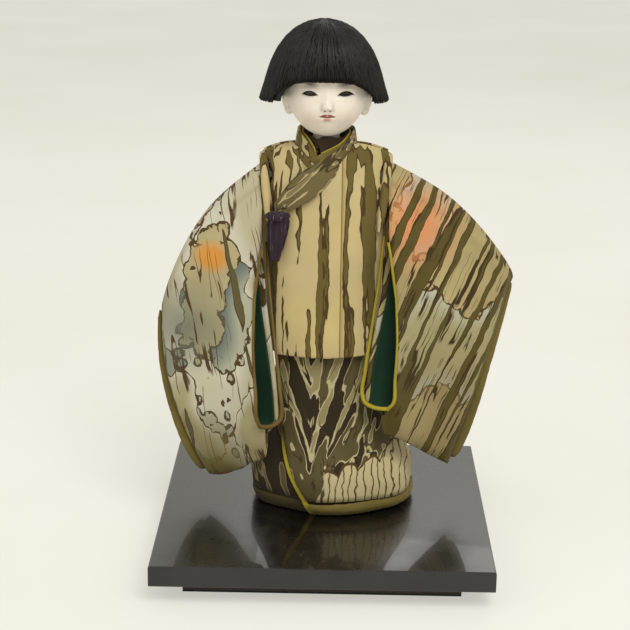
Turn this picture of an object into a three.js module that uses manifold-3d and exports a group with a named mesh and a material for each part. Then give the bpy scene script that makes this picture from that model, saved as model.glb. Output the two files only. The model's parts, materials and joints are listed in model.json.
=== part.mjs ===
// A child doll in a padded kimono and a sleeveless tied vest, standing on a lacquered board.
// Millimetres, +Z up. The doll faces -Y, and left and right are the doll's own.
import * as THREE from "three";
import { mergeVertices } from "three/addons/utils/BufferGeometryUtils.js";
import Module from "manifold-3d";

const wasm = await Module();
wasm.setup();

const gap = 0.3; // clearance between pieces that touch
const layerGap = 0.95; // clearance between layers of cloth and stuffing

// Facets round a turned piece, a small one, a garment and the head
const roundSides = 16;
const smallSides = 8;
const ringSteps = 24;
const stuffingSteps = 16;
const headSteps = 20;
const ribbonSteps = 14;
const bandSteps = 9;
const pipingSides = 6;
const pipingSteps = 24;
const cuffSteps = 14;
const plateSteps = 6;
const chamferSteps = 2;
const skirtLevels = 7;
const domeLevels = 5;
const rollLevels = 4;
const edgingLevels = 8;
const stuffingLevels = 5;
const ringLevels = 3;
const headLevels = 11;
const knotSides = 12;
const tieColumns = 7;
const tieLevels = 6;
const vestBackColumns = 11;
const vestRightColumns = 9;
const vestLeftColumns = 12;

// Board and post
const boardWidth = 220;
const boardDepth = 220;
const boardThickness = 14;
const boardChamfer = 1;
const plinthInset = 20;
const plinthHeight = 11;
const feltThickness = 1.5;
const screwInset = 20;
const screwRadius = 1.6;
const screwHeadRadius = 3.4;
const screwHeadHeight = 2.4;
const screwBite = 8;
const postRadius = 4;
const postSeat = 9;
const postHeight = 124;
const postBehind = 8;
const dollShift = -2;
const dollSetback = 20;

// Shoulder pivots, which the heights of the upper body follow
const pivotX = 39;
const pivotHeight = 226;

// Kimono: half sizes of its rings at heights above the board
const squareness = 2.3;
const hemHalfWidth = 49;
const hemHalfDepth = 41;
const bulgeHeight = 17;
const bulgeHalfWidth = 55;
const bulgeHalfDepth = 46;
const bulgeSideways = 6;
const kneeHeight = 58;
const kneeHalfWidth = 39;
const kneeHalfDepth = 32;
const waistHeight = 104;
const waistHalfWidth = 32;
const waistHalfDepth = 23.5;
const kimonoThickness = 3;
const overlapThickness = 2.4;
const overlapTop = 128;
const overlapSide = 96;
const overlapEdgeLow = 1;
const overlapEdgeHigh = -52;
const skirtFold = 1.5;
const skirtFolds = 6;
const lapColumns = 14;
const hemRollHeight = 11;
const hemRollDepth = 9;
const hemRollSwell = 1.8;
const edgingWidth = 3;
const edgingThickness = 1.4;
const cordRadius = 1.4;
const cordHeight = 150;
const cordFlat = 0.15; // share of the half turn left flat at its top and bottom

// Vest: half sizes of its inner face
const vestHem = 108;
const vestHalfWidth = 37.2;
const vestHalfDepth = 30;
const chestDrop = 21;
const chestHeight = pivotHeight - chestDrop;
const chestHalfWidth = 37.6;
const chestHalfDepth = 24.5;
const shoulderRise = 23.5;
const shoulderHeight = pivotHeight + shoulderRise;
const shoulderFlare = 2.8;
const shoulderSlope = 7;
const shoulderRound = 3; // power by which the slope grows towards the shoulder's end
const vestThickness = 2;
const vestFold = 0.7;
const vestFolds = 7;
const vestLap = -48;
const vestUnderlap = 24;
const tuckHeight = 171;
const tuckDepth = 1.2;
const tuckFold = 1;
const lapFade = 40;
const armholeRadius = 12.5;

// Neck opening and collars
const neckHalfWidth = 19;
const neckHalfDepth = 16;
const collarRise = 8.5;
const collarTop = shoulderHeight + collarRise;
const collarThickness = 1.8;
const crossingX = -6;
const crossingDrop = 29;
const crossingHeight = collarTop - crossingDrop;
const tieX = -31;
const tieDrop = 22;
const tieHeight = crossingHeight - tieDrop;
const vestCollarWidth = 11;
const vestLapelWidth = 17;
const kimonoCollarWidth = 10;
const kimonoCollarShown = 4;
const kimonoCollarInset = 2.4;
const collarTilt = 2.4;
const collarBackDrop = 1;
const innerCollarHalfWidth = 11.2;
const innerCollarHalfDepth = 9.4;
const innerCollarFlare = 0.3;
const innerCollarInset = 2.5;
const innerCollarTop = collarTop - innerCollarInset;
const innerCollarDrop = 6;
const innerCollarThickness = 1;

// Places of a collar band round the neck opening, as shares of its half width and half depth
const neckRun = { back: [0, 1], rear: [0.75, 0.6], side: [1, -0.12], front: [0.72, -0.95] };
const frontRise = 0.64; // height of the front place, from the crossing to the band's top
const lapelMiddleShare = [0.55, 0.5];
const vestNeckDrop = 14;

// Tie ribbon
const knotHalfWidth = 6.4;
const knotHalfHeight = 4.6;
const knotHalfDepth = 4.2;
const tieLoopLength = 31;
const tieLoopTopWidth = 12.5;
const tieLoopWidth = 9.5;
const tieRibbonThickness = 1.8;
const tieRearSpread = 4;
const tieRearShort = 5;
const tieLoopShift = 1;
const tieRipple = 0.5;
const tieRipples = 2;
const tieSpreadEnd = 0.5; // share of the length at which a loop is at its full width

// Body block, legs and stuffing
const coreBottom = 104;
const coreRise = 14;
const coreTop = pivotHeight + coreRise;
const coreHalfWidth = 23;
const coreHalfDepth = 14;
const coreShoulderHalfWidth = 27;
const coreShoulderHalfDepth = 9.5;
const paddingBottom = 114;
const paddingDrop = 11;
const paddingTop = pivotHeight - paddingDrop;
const legSpread = 13;
const legRadius = 6;
const legTenonRadius = 3.5;
const legTenonLength = 12;
const footHalfWidth = 7;
const footHalfLength = 15;
const footHeight = 12;
const footForward = 6;

// Head: its chin is in the collar, and its other heights rise from the chin
const chinInCollar = 4.5;
const chinHeight = collarTop - chinInCollar;
const headHeight = 70.5;
const skullTop = chinHeight + headHeight;
const skullHalfWidth = 27.5;
const skullHalfDepth = 30;
const napeNarrowing = 0.34;
const chinForward = 7;
const crownFlat = 0.12; // angle left flat at the top and bottom of the head, in radians
const noseRise = 23.5;
const noseHeight = chinHeight + noseRise;
const noseHalfWidth = 2.6;
const noseHalfHeight = 3.4;
const noseLength = 3;
const eyeRise = 31;
const eyeHeight = chinHeight + eyeRise;
const eyeSpread = 11.5;
const eyeHalfWidth = 4.4;
const eyeHalfHeight = 1.7;
const eyeHalfDepth = 1.6;
const eyeProud = 0.5;
const earRise = 20.5;
const earHeight = chinHeight + earRise;
const earHalfHeight = 8.5;
const earHalfDepth = 4.5;
const earThickness = 2.6;
const neckRadius = 9;
const neckRise = 7;
const neckBottom = coreTop + neckRise;
const pegRadius = 6;
const pegChamfer = 1;
const pegDepth = 34;
const pegBottom = coreTop - pegDepth;
const pegInHead = 26;
const socketRadius = 9;

// Hair: rise from the chin, half width, depth in front and depth behind, from the cut rim to the crown
const hairShift = -2;
const hairForm = [
  [23.5, 42, 27, 38],
  [31.5, 39.2, 31.5, 37.5],
  [39.5, 37, 34, 36.8],
  [47.5, 34.3, 34, 35.5],
  [55.5, 30.5, 31.5, 32.5],
  [63, 24.8, 26.5, 27.5],
  [69, 17, 19, 20],
  [73.3, 8.5, 9.5, 10],
  [75, 2, 2, 2],
];
const fringeRise = 38;
const fringeHeight = chinHeight + fringeRise;
const fringeHalfWidth = 22;
const fringeDip = 1;
const lockHalfWidth = 29;
const lockStep = 5;

// Shoulders and arms
const dowelRadius = 3;
const dowelLength = 30;
const tongueThickness = 3;
const tongueRadius = 3;
const pinRadius = 1.5;
const forkThickness = 2;
const forkRadius = 3.2;
const rodRadius = 2.2;
const armLength = 62;
const armStart = 9;
const armRootRadius = 3.4;
const armRadius = 4.4;
const upperArmShare = 0.4;
const forearmShare = 0.75;
const handLength = 17;
const handHalfWidth = 4.2;
const handHalfDepth = 3.4;

// Sleeves: outlines seen from the front, outwards from the shoulder pivot
const sleeveWall = 2.2;
const liningWall = 1.2;
const sleeveArmFullness = 21;
const sleeveBagFullness = 14;
const sleeveRootRound = 0.08; // shares of the length and width that round off to the edges
const sleeveSoleRound = 0.12;
const sleeveOuterRound = 0.16;
const sleeveRootTuck = 5.5;
const sleeveRootEnd = [0.05, 0.13]; // shares of the length from which and to which a change runs
const sleeveArmEnd = [0.2, 0.55];
const sleeveFoldRun = [0.2, 0.7];
const sleeveFlareRun = [0.3, 0.85];
const sleeveInnerRun = 0.4; // share of the width that the inner edge's changes reach
const sleeveHangStart = 0.12;
const sleeveHangBend = 0.7;
const sleeveEdge = 2.4;
const sleeveRim = 2.4;
const liningRim = 1.8;
const liningTuck = 0.04;
const pastMouth = -0.06;
const sleeveDowns = [0, 0.02, 0.06, 0.1, 0.2, 0.34, 0.5, 0.66, 0.82, 0.94, 1];
const sleeveOuts = [0, 0.16, 0.34, 0.52, 0.7, 0.86, 0.95, 1];
const sleeveFold = 2;
const sleeveFoldTurn = 11;
const pipingRadius = 0.9;
const pipingStart = 0.38;
const pipingTurn = 0.75;
const mouthSeam = 0.94;
const cuffRadius = 2.8;
const cuffRun = [0.03, 0.98];
const sleeves = {
  right: {
    side: -1,
    armAngle: 34,
    armLean: 5.5,
    fromPivot: {
      rootTop: [3.2, 12],
      topSwell: [56, -30],
      corner: [71, -90],
      outerSwell: [76, -155],
      mouthSwell: [3, -85],
    },
    fromBoard: {
      toe: [39, 16],
      soleSwell: [17, 20],
      mouthEnd: [-4, 55],
    },
    mouthForward: 49,
    toeForward: 12,
    mouthFlare: 7,
  },
  left: {
    side: 1,
    armAngle: 43,
    armLean: 6.5,
    fromPivot: {
      rootTop: [3.2, 12],
      topSwell: [60, -17],
      corner: [88, -66],
      outerSwell: [73, -132],
      mouthSwell: [4, -78],
    },
    fromBoard: {
      toe: [48, 27],
      soleSwell: [24, 44],
      mouthEnd: [-2, 69],
    },
    mouthForward: 44,
    toeForward: 14,
    mouthFlare: 9,
  },
};

// Materials
const finish = (color, roughness, metalness = 0) =>
  new THREE.MeshStandardMaterial({ color, roughness, metalness });
const lacquer = finish("#12110f", 0.3);
const darkWood = finish("#3b2a1c", 0.6);
const paleWood = finish("#c9a877", 0.6);
const felt = finish("#26302a", 0.95);
const steel = finish("#8d9093", 0.4, 1);
const shellWhite = finish("#eee6da", 0.45);
const eyeGlass = finish("#1a120d", 0.1);
const blackHair = finish("#100d0c", 0.5);
const cotton = finish("#e8e2d4", 0.95);
const creamCloth = finish("#cbbd92", 0.8);
const barkCloth = finish("#7d6a2f", 0.8);
const oliveCloth = finish("#5d5316", 0.75);
const brownCloth = finish("#3c2515", 0.85);
const greenCloth = finish("#163b26", 0.8);
const yellowCloth = finish("#d0a52c", 0.7);
const purpleCloth = finish("#33263a", 0.7);

// Geometry helpers
const lerp = THREE.MathUtils.lerp;
const smooth = THREE.MathUtils.smoothstep;
const radians = THREE.MathUtils.degToRad;
const normalStep = 0.004;
const weld = 1e-4;

function spread(count, from = 0, to = 1) {
  return Array.from({ length: count }, (unused, i) => lerp(from, to, i / (count - 1)));
}

function volumeOf(points, triangles) {
  let sum = 0;
  for (const [a, b, c] of triangles) {
    sum += points[a].dot(points[b].clone().cross(points[c]));
  }
  return sum / 6;
}

function closedGeometry(points, triangles) {
  const inside = volumeOf(points, triangles) < 0;
  const index = triangles.flatMap(([a, b, c]) => (inside ? [a, c, b] : [a, b, c]));
  const geometry = new THREE.BufferGeometry().setFromPoints(points);
  geometry.setIndex(index);
  return geometry;
}

function pushQuad(triangles, a, b, c, d) {
  triangles.push([a, b, c], [a, c, d]);
}

// A closed wall between two surfaces that share one grid of u and v
function wall(outer, inner, us, vs, closed = false) {
  const points = [];
  for (const face of [outer, inner]) {
    for (const u of us) {
      for (const v of vs) {
        points.push(face(u, v));
      }
    }
  }
  const columns = us.length;
  const rows = vs.length;
  const at = (face, i, j) => (face * columns + (i % columns)) * rows + j;
  const triangles = [];
  const spans = closed ? columns : columns - 1;
  const last = rows - 1;
  for (let i = 0; i < spans; i += 1) {
    for (let j = 0; j < last; j += 1) {
      pushQuad(triangles, at(0, i, j), at(0, i + 1, j), at(0, i + 1, j + 1), at(0, i, j + 1));
      pushQuad(triangles, at(1, i, j), at(1, i, j + 1), at(1, i + 1, j + 1), at(1, i + 1, j));
    }
    pushQuad(triangles, at(0, i, 0), at(1, i, 0), at(1, i + 1, 0), at(0, i + 1, 0));
    pushQuad(triangles, at(0, i, last), at(0, i + 1, last), at(1, i + 1, last), at(1, i, last));
  }
  if (!closed) {
    for (let j = 0; j < last; j += 1) {
      pushQuad(triangles, at(0, 0, j), at(0, 0, j + 1), at(1, 0, j + 1), at(1, 0, j));
      pushQuad(triangles, at(0, spans, j), at(1, spans, j), at(1, spans, j + 1), at(0, spans, j + 1));
    }
  }
  return closedGeometry(points, triangles);
}

// A closed solid through rings of equal count, with a fan over each end
function loft(rings) {
  const count = rings[0].length;
  const points = rings.flat();
  const triangles = [];
  for (let r = 0; r < rings.length - 1; r += 1) {
    for (let i = 0; i < count; i += 1) {
      const next = (i + 1) % count;
      const low = r * count;
      const high = low + count;
      pushQuad(triangles, low + i, low + next, high + next, high + i);
    }
  }
  for (const [start, ring] of [[0, rings[0]], [(rings.length - 1) * count, rings.at(-1)]]) {
    const centre = ring.reduce((sum, p) => sum.add(p), new THREE.Vector3()).divideScalar(count);
    points.push(centre);
    for (let i = 0; i < count; i += 1) {
      const next = (i + 1) % count;
      const edge = start === 0 ? [start + next, start + i] : [start + i, start + next];
      triangles.push([...edge, points.length - 1]);
    }
  }
  return closedGeometry(points, triangles);
}

function rod(radius, length, sides = roundSides) {
  return new THREE.CylinderGeometry(radius, radius, length, sides)
    .rotateX(Math.PI / 2)
    .translate(0, 0, length / 2);
}

function turned(profile, sides = roundSides) {
  const points = profile.map(([radius, height]) => new THREE.Vector2(radius, height));
  return new THREE.LatheGeometry(points, sides).rotateX(Math.PI / 2);
}

function block(width, depth, height) {
  return new THREE.BoxGeometry(width, depth, height).translate(0, 0, height / 2);
}

// An outline in x and z, pushed back along +Y from yFront to yBack
function prism(outline, yFront, yBack, options = {}) {
  const shape = new THREE.Shape(outline.map(([x, z]) => new THREE.Vector2(x, z)));
  return new THREE.ExtrudeGeometry(shape, { depth: yBack - yFront, bevelEnabled: false, ...options })
    .rotateX(Math.PI / 2)
    .translate(0, yBack, 0);
}

function toSolid(geometry) {
  const bare = new THREE.BufferGeometry();
  bare.setAttribute("position", geometry.getAttribute("position"));
  bare.setIndex(geometry.index);
  const merged = mergeVertices(bare, weld);
  return new wasm.Manifold(new wasm.Mesh({
    numProp: 3,
    vertProperties: merged.getAttribute("position").array,
    triVerts: new Uint32Array(merged.index.array),
  }));
}

function toGeometry(solid) {
  const mesh = solid.getMesh();
  const geometry = new THREE.BufferGeometry();
  geometry.setAttribute("position", new THREE.BufferAttribute(Float32Array.from(mesh.vertProperties), 3));
  geometry.setIndex([...mesh.triVerts]);
  return geometry;
}

function join(...geometries) {
  return toGeometry(geometries.map(toSolid).reduce((sum, solid) => sum.add(solid)));
}

// Cuts the tools away and keeps the largest body that is left
function carve(geometry, ...tools) {
  const left = tools.map(toSolid).reduce((rest, tool) => rest.subtract(tool), toSolid(geometry));
  const bodies = left.decompose().sort((a, b) => b.volume() - a.volume());
  return toGeometry(bodies[0]);
}

// A round tube through points
function tube(points, radius, sides, steps) {
  const curve = new THREE.CatmullRomCurve3(points);
  const circle = new THREE.Shape().absarc(0, 0, radius, 0, 2 * Math.PI);
  return new THREE.ExtrudeGeometry(circle, { extrudePath: curve, steps, curveSegments: sides / 2 });
}

// A flat band through points, facing away from the neck's axis
function ribbon(points, widths, thickness) {
  const curve = new THREE.CatmullRomCurve3(points.map((p) => new THREE.Vector3(...p)));
  const width = new THREE.CubicInterpolant(spread(widths.length), widths, 1);
  const rings = spread(ribbonSteps).map((t) => {
    const centre = curve.getPoint(t);
    const along = curve.getTangent(t);
    const out = new THREE.Vector3(centre.x, centre.y, collarTilt);
    out.addScaledVector(along, -out.dot(along)).normalize();
    const across = along.clone().cross(out);
    const half = width.evaluate(t)[0] / 2;
    const edge = thickness / 2;
    const corners = [[-half, 0], [edge - half, -edge], [half - edge, -edge]];
    const facing = [[half, 0], [half - edge, edge], [edge - half, edge]];
    return [...corners, ...facing].map(([side, proud]) =>
      centre.clone().addScaledVector(across, side).addScaledVector(out, proud));
  });
  return loft(rings);
}

// Board, plinth, felt, screws and post
const boardBottom = feltThickness + plinthHeight;
const boardTop = boardBottom + boardThickness;
const plinthWidth = boardWidth - 2 * plinthInset;
const plinthDepth = boardDepth - 2 * plinthInset;
const part = new THREE.Group();
const doll = new THREE.Group();
doll.position.set(dollShift, dollSetback, boardTop);
part.add(doll);

function add(group, name, geometry, material) {
  const mesh = new THREE.Mesh(geometry, material);
  mesh.name = name;
  group.add(mesh);
  return mesh;
}

function buildBase() {
  const corner = [boardWidth / 2 - boardChamfer, boardDepth / 2 - boardChamfer];
  const outline = new THREE.Shape([
    new THREE.Vector2(-corner[0], -corner[1]),
    new THREE.Vector2(corner[0], -corner[1]),
    new THREE.Vector2(corner[0], corner[1]),
    new THREE.Vector2(-corner[0], corner[1]),
  ]);
  const board = new THREE.ExtrudeGeometry(outline, {
    depth: boardThickness - 2 * boardChamfer,
    bevelThickness: boardChamfer,
    bevelSize: boardChamfer,
    bevelSegments: chamferSteps,
  }).translate(0, 0, boardBottom + boardChamfer);
  const plinth = block(plinthWidth, plinthDepth, plinthHeight - gap).translate(0, 0, feltThickness);
  const postPlace = [dollShift, dollSetback + postBehind];
  const seat = rod(postRadius + gap, postSeat + boardThickness);
  const boardCuts = [seat.translate(...postPlace, boardTop - postSeat - gap)];
  const plinthCuts = [];
  const screwX = plinthWidth / 2 - screwInset;
  const screwY = plinthDepth / 2 - screwInset;
  const screwPlaces = [[-screwX, -screwY], [screwX, -screwY], [screwX, screwY], [-screwX, screwY]];
  const screwFoot = feltThickness + gap;
  const screwEnd = boardBottom + screwBite;
  screwPlaces.forEach(([x, y], i) => {
    const screw = turned([
      [0, screwFoot],
      [screwHeadRadius, screwFoot],
      [screwHeadRadius, screwFoot + screwHeadHeight / 3],
      [screwRadius, screwFoot + screwHeadHeight],
      [screwRadius, screwEnd - screwRadius],
      [0, screwEnd],
    ], smallSides);
    add(part, `plinth_screw_${i + 1}`, screw.translate(x, y, 0), steel);
    const recess = rod(screwHeadRadius + gap, screwHeadHeight + 3 * gap, smallSides);
    const hole = rod(screwRadius + gap, screwEnd + gap, smallSides);
    plinthCuts.push(recess.translate(x, y, feltThickness - gap), hole.clone().translate(x, y, 0));
    boardCuts.push(hole.translate(x, y, 0));
  });
  add(part, "base_board", carve(board, ...boardCuts), lacquer);
  add(part, "base_plinth", carve(plinth, ...plinthCuts), darkWood);
  add(part, "base_felt", block(plinthWidth, plinthDepth, feltThickness - gap), felt);
  const postFoot = boardTop - postSeat;
  const postEnd = boardTop + postHeight;
  const post = turned([
    [0, postFoot],
    [postRadius, postFoot],
    [postRadius, postEnd - postRadius],
    [postRadius / 2, postEnd],
    [0, postEnd],
  ]);
  add(part, "stand_post", post.translate(...postPlace, 0), paleWood);
}

// Angle 0 is the front of a ring, a quarter turn is the doll's left
function ringPoint(angle, halfWidth, halfDepth, height, sideways = 0) {
  const s = Math.sin(angle);
  const c = Math.cos(angle);
  const bow = 2 / squareness;
  const x = Math.sign(s) * Math.abs(s) ** bow * halfWidth;
  const y = -Math.sign(c) * Math.abs(c) ** bow * halfDepth;
  return new THREE.Vector3(sideways + x, y, height);
}

// Half sizes at a row: heights up to the chest, and round over the shoulders above it
function overShoulder(row, halfWidth, halfDepth, top) {
  const turn = ((row - chestHeight) / (top - chestHeight)) * (Math.PI / 2);
  const rise = Math.sin(turn);
  return {
    halfWidth: halfWidth + shoulderFlare * rise,
    halfDepth: Math.max(halfDepth * Math.cos(turn), gap),
    height: lerp(chestHeight, top, rise),
    sideways: 0,
    slope: shoulderSlope * rise,
  };
}

// Shoulders fall away towards their ends
function slopeDown(point, halfWidth, slope) {
  point.z -= slope * (Math.abs(point.x) / halfWidth) ** shoulderRound;
  return point;
}

const skirtForm = new THREE.CubicInterpolant(
  [0, bulgeHeight, kneeHeight, waistHeight, cordHeight, chestHeight],
  [
    hemHalfWidth, hemHalfDepth, bulgeSideways,
    bulgeHalfWidth, bulgeHalfDepth, bulgeSideways,
    kneeHalfWidth, kneeHalfDepth, bulgeSideways / 3,
    waistHalfWidth, waistHalfDepth, 0,
    waistHalfWidth, waistHalfDepth, 0,
    chestHalfWidth - layerGap, chestHalfDepth - layerGap, 0,
  ],
  3,
);

function kimonoSection(row) {
  if (row > chestHeight) {
    const under = shoulderHeight - layerGap;
    return overShoulder(row, chestHalfWidth - layerGap, chestHalfDepth - layerGap, under);
  }
  const [halfWidth, halfDepth, sideways] = skirtForm.evaluate(row);
  return { halfWidth, halfDepth, height: row, sideways, slope: 0 };
}

function vestSection(row) {
  if (row > chestHeight) {
    return overShoulder(row, chestHalfWidth, chestHalfDepth, shoulderHeight);
  }
  const share = smooth(row, vestHem, chestHeight);
  return {
    halfWidth: lerp(vestHalfWidth, chestHalfWidth, share),
    halfDepth: lerp(vestHalfDepth, chestHalfDepth, share),
    height: row,
    slope: 0,
  };
}

function kimonoBare(angle, row, spare = 0) {
  const { halfWidth, halfDepth, height, sideways, slope } = kimonoSection(row);
  const fall = 1 - smooth(row, bulgeHeight, waistHeight);
  const out = spare + skirtFold * fall * Math.cos(skirtFolds * angle + row / bulgeHeight);
  return slopeDown(ringPoint(angle, halfWidth + out, halfDepth + out, height, sideways), halfWidth, slope);
}

function vestBare(angle, row) {
  const { halfWidth, halfDepth, height, slope } = vestSection(row);
  const fold = vestFold * (1 - smooth(row, vestHem, tuckHeight)) * Math.cos(vestFolds * angle);
  return slopeDown(ringPoint(angle, halfWidth + fold, halfDepth + fold, height), halfWidth, slope);
}

// A point moved off a surface along its normal
function proudOf(surface, angle, row, offset) {
  const across = surface(angle + normalStep, row).sub(surface(angle - normalStep, row));
  const up = surface(angle, row + normalStep).sub(surface(angle, row - normalStep));
  return surface(angle, row).addScaledVector(across.cross(up).normalize(), offset);
}

const onKimono = (angle, row, offset) => proudOf(kimonoBare, angle, row, offset);
const onVest = (angle, row, offset) => proudOf(vestBare, angle, row, offset);
const around = (count) => spread(count + 1, 0, 2 * Math.PI).slice(0, -1);
const domeRows = spread(domeLevels, chestHeight, shoulderHeight - gap).slice(1);

// Depth of the vest's front at a place seen from the front
function chestFront(x, height, offset) {
  const top = Math.min(height, shoulderHeight - gap);
  const rise = Math.asin((top - chestHeight) / (shoulderHeight - chestHeight));
  const row = top > chestHeight ? lerp(chestHeight, shoulderHeight, rise / (Math.PI / 2)) : top;
  const { halfWidth, halfDepth } = vestSection(row);
  const reach = Math.min(Math.abs(x) / (halfWidth + offset), 1) ** squareness;
  return -(halfDepth + offset) * (1 - reach) ** (1 / squareness);
}

function neckHole() {
  return rod(neckHalfWidth + gap, collarTop - chestHeight)
    .scale(1, neckHalfDepth / neckHalfWidth, 1)
    .translate(0, 0, chestHeight + chestHalfDepth / 2);
}

function armholes() {
  const reach = chestHalfWidth;
  return [-1, 1].map((side) => rod(armholeRadius, reach)
    .rotateY(side * Math.PI / 2)
    .translate(side * (pivotX - reach / 2), 0, pivotHeight));
}

// Skirt: padded kimono, lapped front, hem rolls and edging
const hemTop = hemRollHeight + gap;
const skirtRows = spread(skirtLevels, hemTop, waistHeight);

function rollSwell(height) {
  return height < hemRollHeight ? hemRollSwell * Math.sin((Math.PI * height) / hemRollHeight) : 0;
}

function overlapEdge(row) {
  return radians(lerp(overlapEdgeLow, overlapEdgeHigh, smooth(row, -waistHeight / 3, waistHeight)));
}

function buildSkirt(fatCollars) {
  const bodyWall = wall(
    (angle, row) => onKimono(angle, row, 0),
    (angle, row) => onKimono(angle, row, -kimonoThickness),
    around(ringSteps),
    [...skirtRows, cordHeight, chestHeight, ...domeRows],
    true,
  );
  add(doll, "kimono_body", carve(bodyWall, neckHole(), ...armholes(), ...fatCollars), barkCloth);

  const lapAngle = (share, row) => lerp(overlapEdge(row), radians(overlapSide), share);
  const lap = wall(
    (share, row) => kimonoBare(lapAngle(share, row), row, layerGap + overlapThickness),
    (share, row) => kimonoBare(lapAngle(share, row), row, layerGap),
    spread(lapColumns),
    [...skirtRows, overlapTop],
  );
  add(doll, "kimono_overlap", lap, creamCloth);

  const rollRows = spread(rollLevels, gap, hemRollHeight);
  const bodyRoll = wall(
    (angle, row) => kimonoBare(angle, row, rollSwell(row)),
    (angle, row) => kimonoBare(angle, row, -hemRollDepth),
    around(ringSteps),
    rollRows,
    true,
  );
  add(doll, "hem_roll_body", bodyRoll, oliveCloth);
  const lapRoll = wall(
    (share, row) => kimonoBare(lapAngle(share, row), row, layerGap + overlapThickness + 2 * rollSwell(row)),
    (share, row) => kimonoBare(lapAngle(share, row), row, layerGap + rollSwell(row)),
    spread(lapColumns),
    rollRows,
  );
  add(doll, "hem_roll_overlap", lapRoll, oliveCloth);

  const edgeAngle = (share, row) => {
    const { halfDepth } = kimonoSection(row);
    return overlapEdge(row) - (gap + edgingWidth * (1 - share)) / halfDepth;
  };
  const edging = wall(
    (share, row) => kimonoBare(edgeAngle(share, row), row, layerGap + edgingThickness + rollSwell(row)),
    (share, row) => kimonoBare(edgeAngle(share, row), row, layerGap + rollSwell(row)),
    [0, 1],
    [...rollRows, ...spread(edgingLevels, hemTop + gap, vestHem)],
  );
  add(doll, "overlap_edging", edging, yellowCloth);

  const cordArc = (turn) => cordHeight - cordRadius * Math.cos(Math.PI * turn);
  const cord = wall(
    (angle, turn) => onKimono(angle, cordArc(turn), layerGap + cordRadius * (1 + Math.sin(Math.PI * turn))),
    (angle, turn) => onKimono(angle, cordArc(turn), layerGap + cordRadius * (1 - Math.sin(Math.PI * turn))),
    around(stuffingSteps),
    spread(ringLevels, cordFlat, 1 - cordFlat),
    true,
  );
  add(doll, "waist_cord", cord, oliveCloth);
}

// Collar bands: round the back of the neck, over the chest and down to the tie
function collarPath(side, inset, proud, chest) {
  const halfWidth = neckHalfWidth - inset;
  const halfDepth = neckHalfDepth - inset;
  const top = collarTop - vestCollarWidth / 2;
  const frontTop = lerp(crossingHeight, top, frontRise) + inset / 2;
  const place = ([across, deep], height) => [side * across * halfWidth, deep * halfDepth, height];
  return [
    place(neckRun.back, top - collarBackDrop),
    place(neckRun.rear, top),
    place(neckRun.side, top),
    place(neckRun.front, frontTop),
    ...chest.map(([x, height]) => [x, chestFront(x, height, proud), height]),
  ];
}

function buildCollars() {
  const under = 2 * vestThickness + gap;
  const top = under + collarThickness;
  const crossing = [crossingX, crossingHeight];
  const lapelMiddle = [
    lerp(crossingX, tieX, lapelMiddleShare[0]),
    lerp(crossingHeight, tieHeight, lapelMiddleShare[1]),
  ];
  const shownAt = (times) => [crossingX, crossingHeight + times * kimonoCollarShown];
  const leftPath = collarPath(1, 0, top, [crossing, lapelMiddle, [tieX, tieHeight]]);
  const rightPath = collarPath(-1, 0, under, [crossing]);
  const leftInner = collarPath(1, kimonoCollarInset, under, [shownAt(2)]);
  const rightInner = collarPath(-1, kimonoCollarInset, under, [shownAt(1)]);
  const lapelWidths = [vestCollarWidth, vestCollarWidth, vestCollarWidth, vestLapelWidth, vestCollarWidth];
  const vestWidths = [vestCollarWidth, vestCollarWidth];
  const kimonoWidths = [kimonoCollarWidth, kimonoCollarWidth];
  const bands = [
    ["vest_collar_left", leftPath, lapelWidths, barkCloth],
    ["vest_collar_right", rightPath, vestWidths, creamCloth],
    ["kimono_collar_left", leftInner, kimonoWidths, oliveCloth],
    ["kimono_collar_right", rightInner, kimonoWidths, oliveCloth],
  ];
  const fat = [];
  for (const [name, path, widths, material] of bands) {
    const whole = ribbon(path, widths, collarThickness);
    add(doll, name, carve(whole, knotSolid(gap), ...fat), material);
    fat.push(ribbon(path, widths.map((width) => width + 2 * gap), collarThickness + 2 * gap));
  }
  return fat;
}

function buildInnerCollar() {
  const foot = coreTop + gap;
  const rim = (angle) => innerCollarTop - innerCollarDrop * Math.cos(angle / 2) ** 4;
  const face = (spare) => (angle, share) => ringPoint(
    angle,
    innerCollarHalfWidth + innerCollarFlare * share + spare,
    innerCollarHalfDepth + innerCollarFlare * share + spare,
    lerp(foot, rim(angle), share),
  );
  const ring = wall(face(innerCollarThickness), face(0), around(stuffingSteps), spread(ringLevels), true);
  add(doll, "inner_collar", ring, brownCloth);
}

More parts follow.
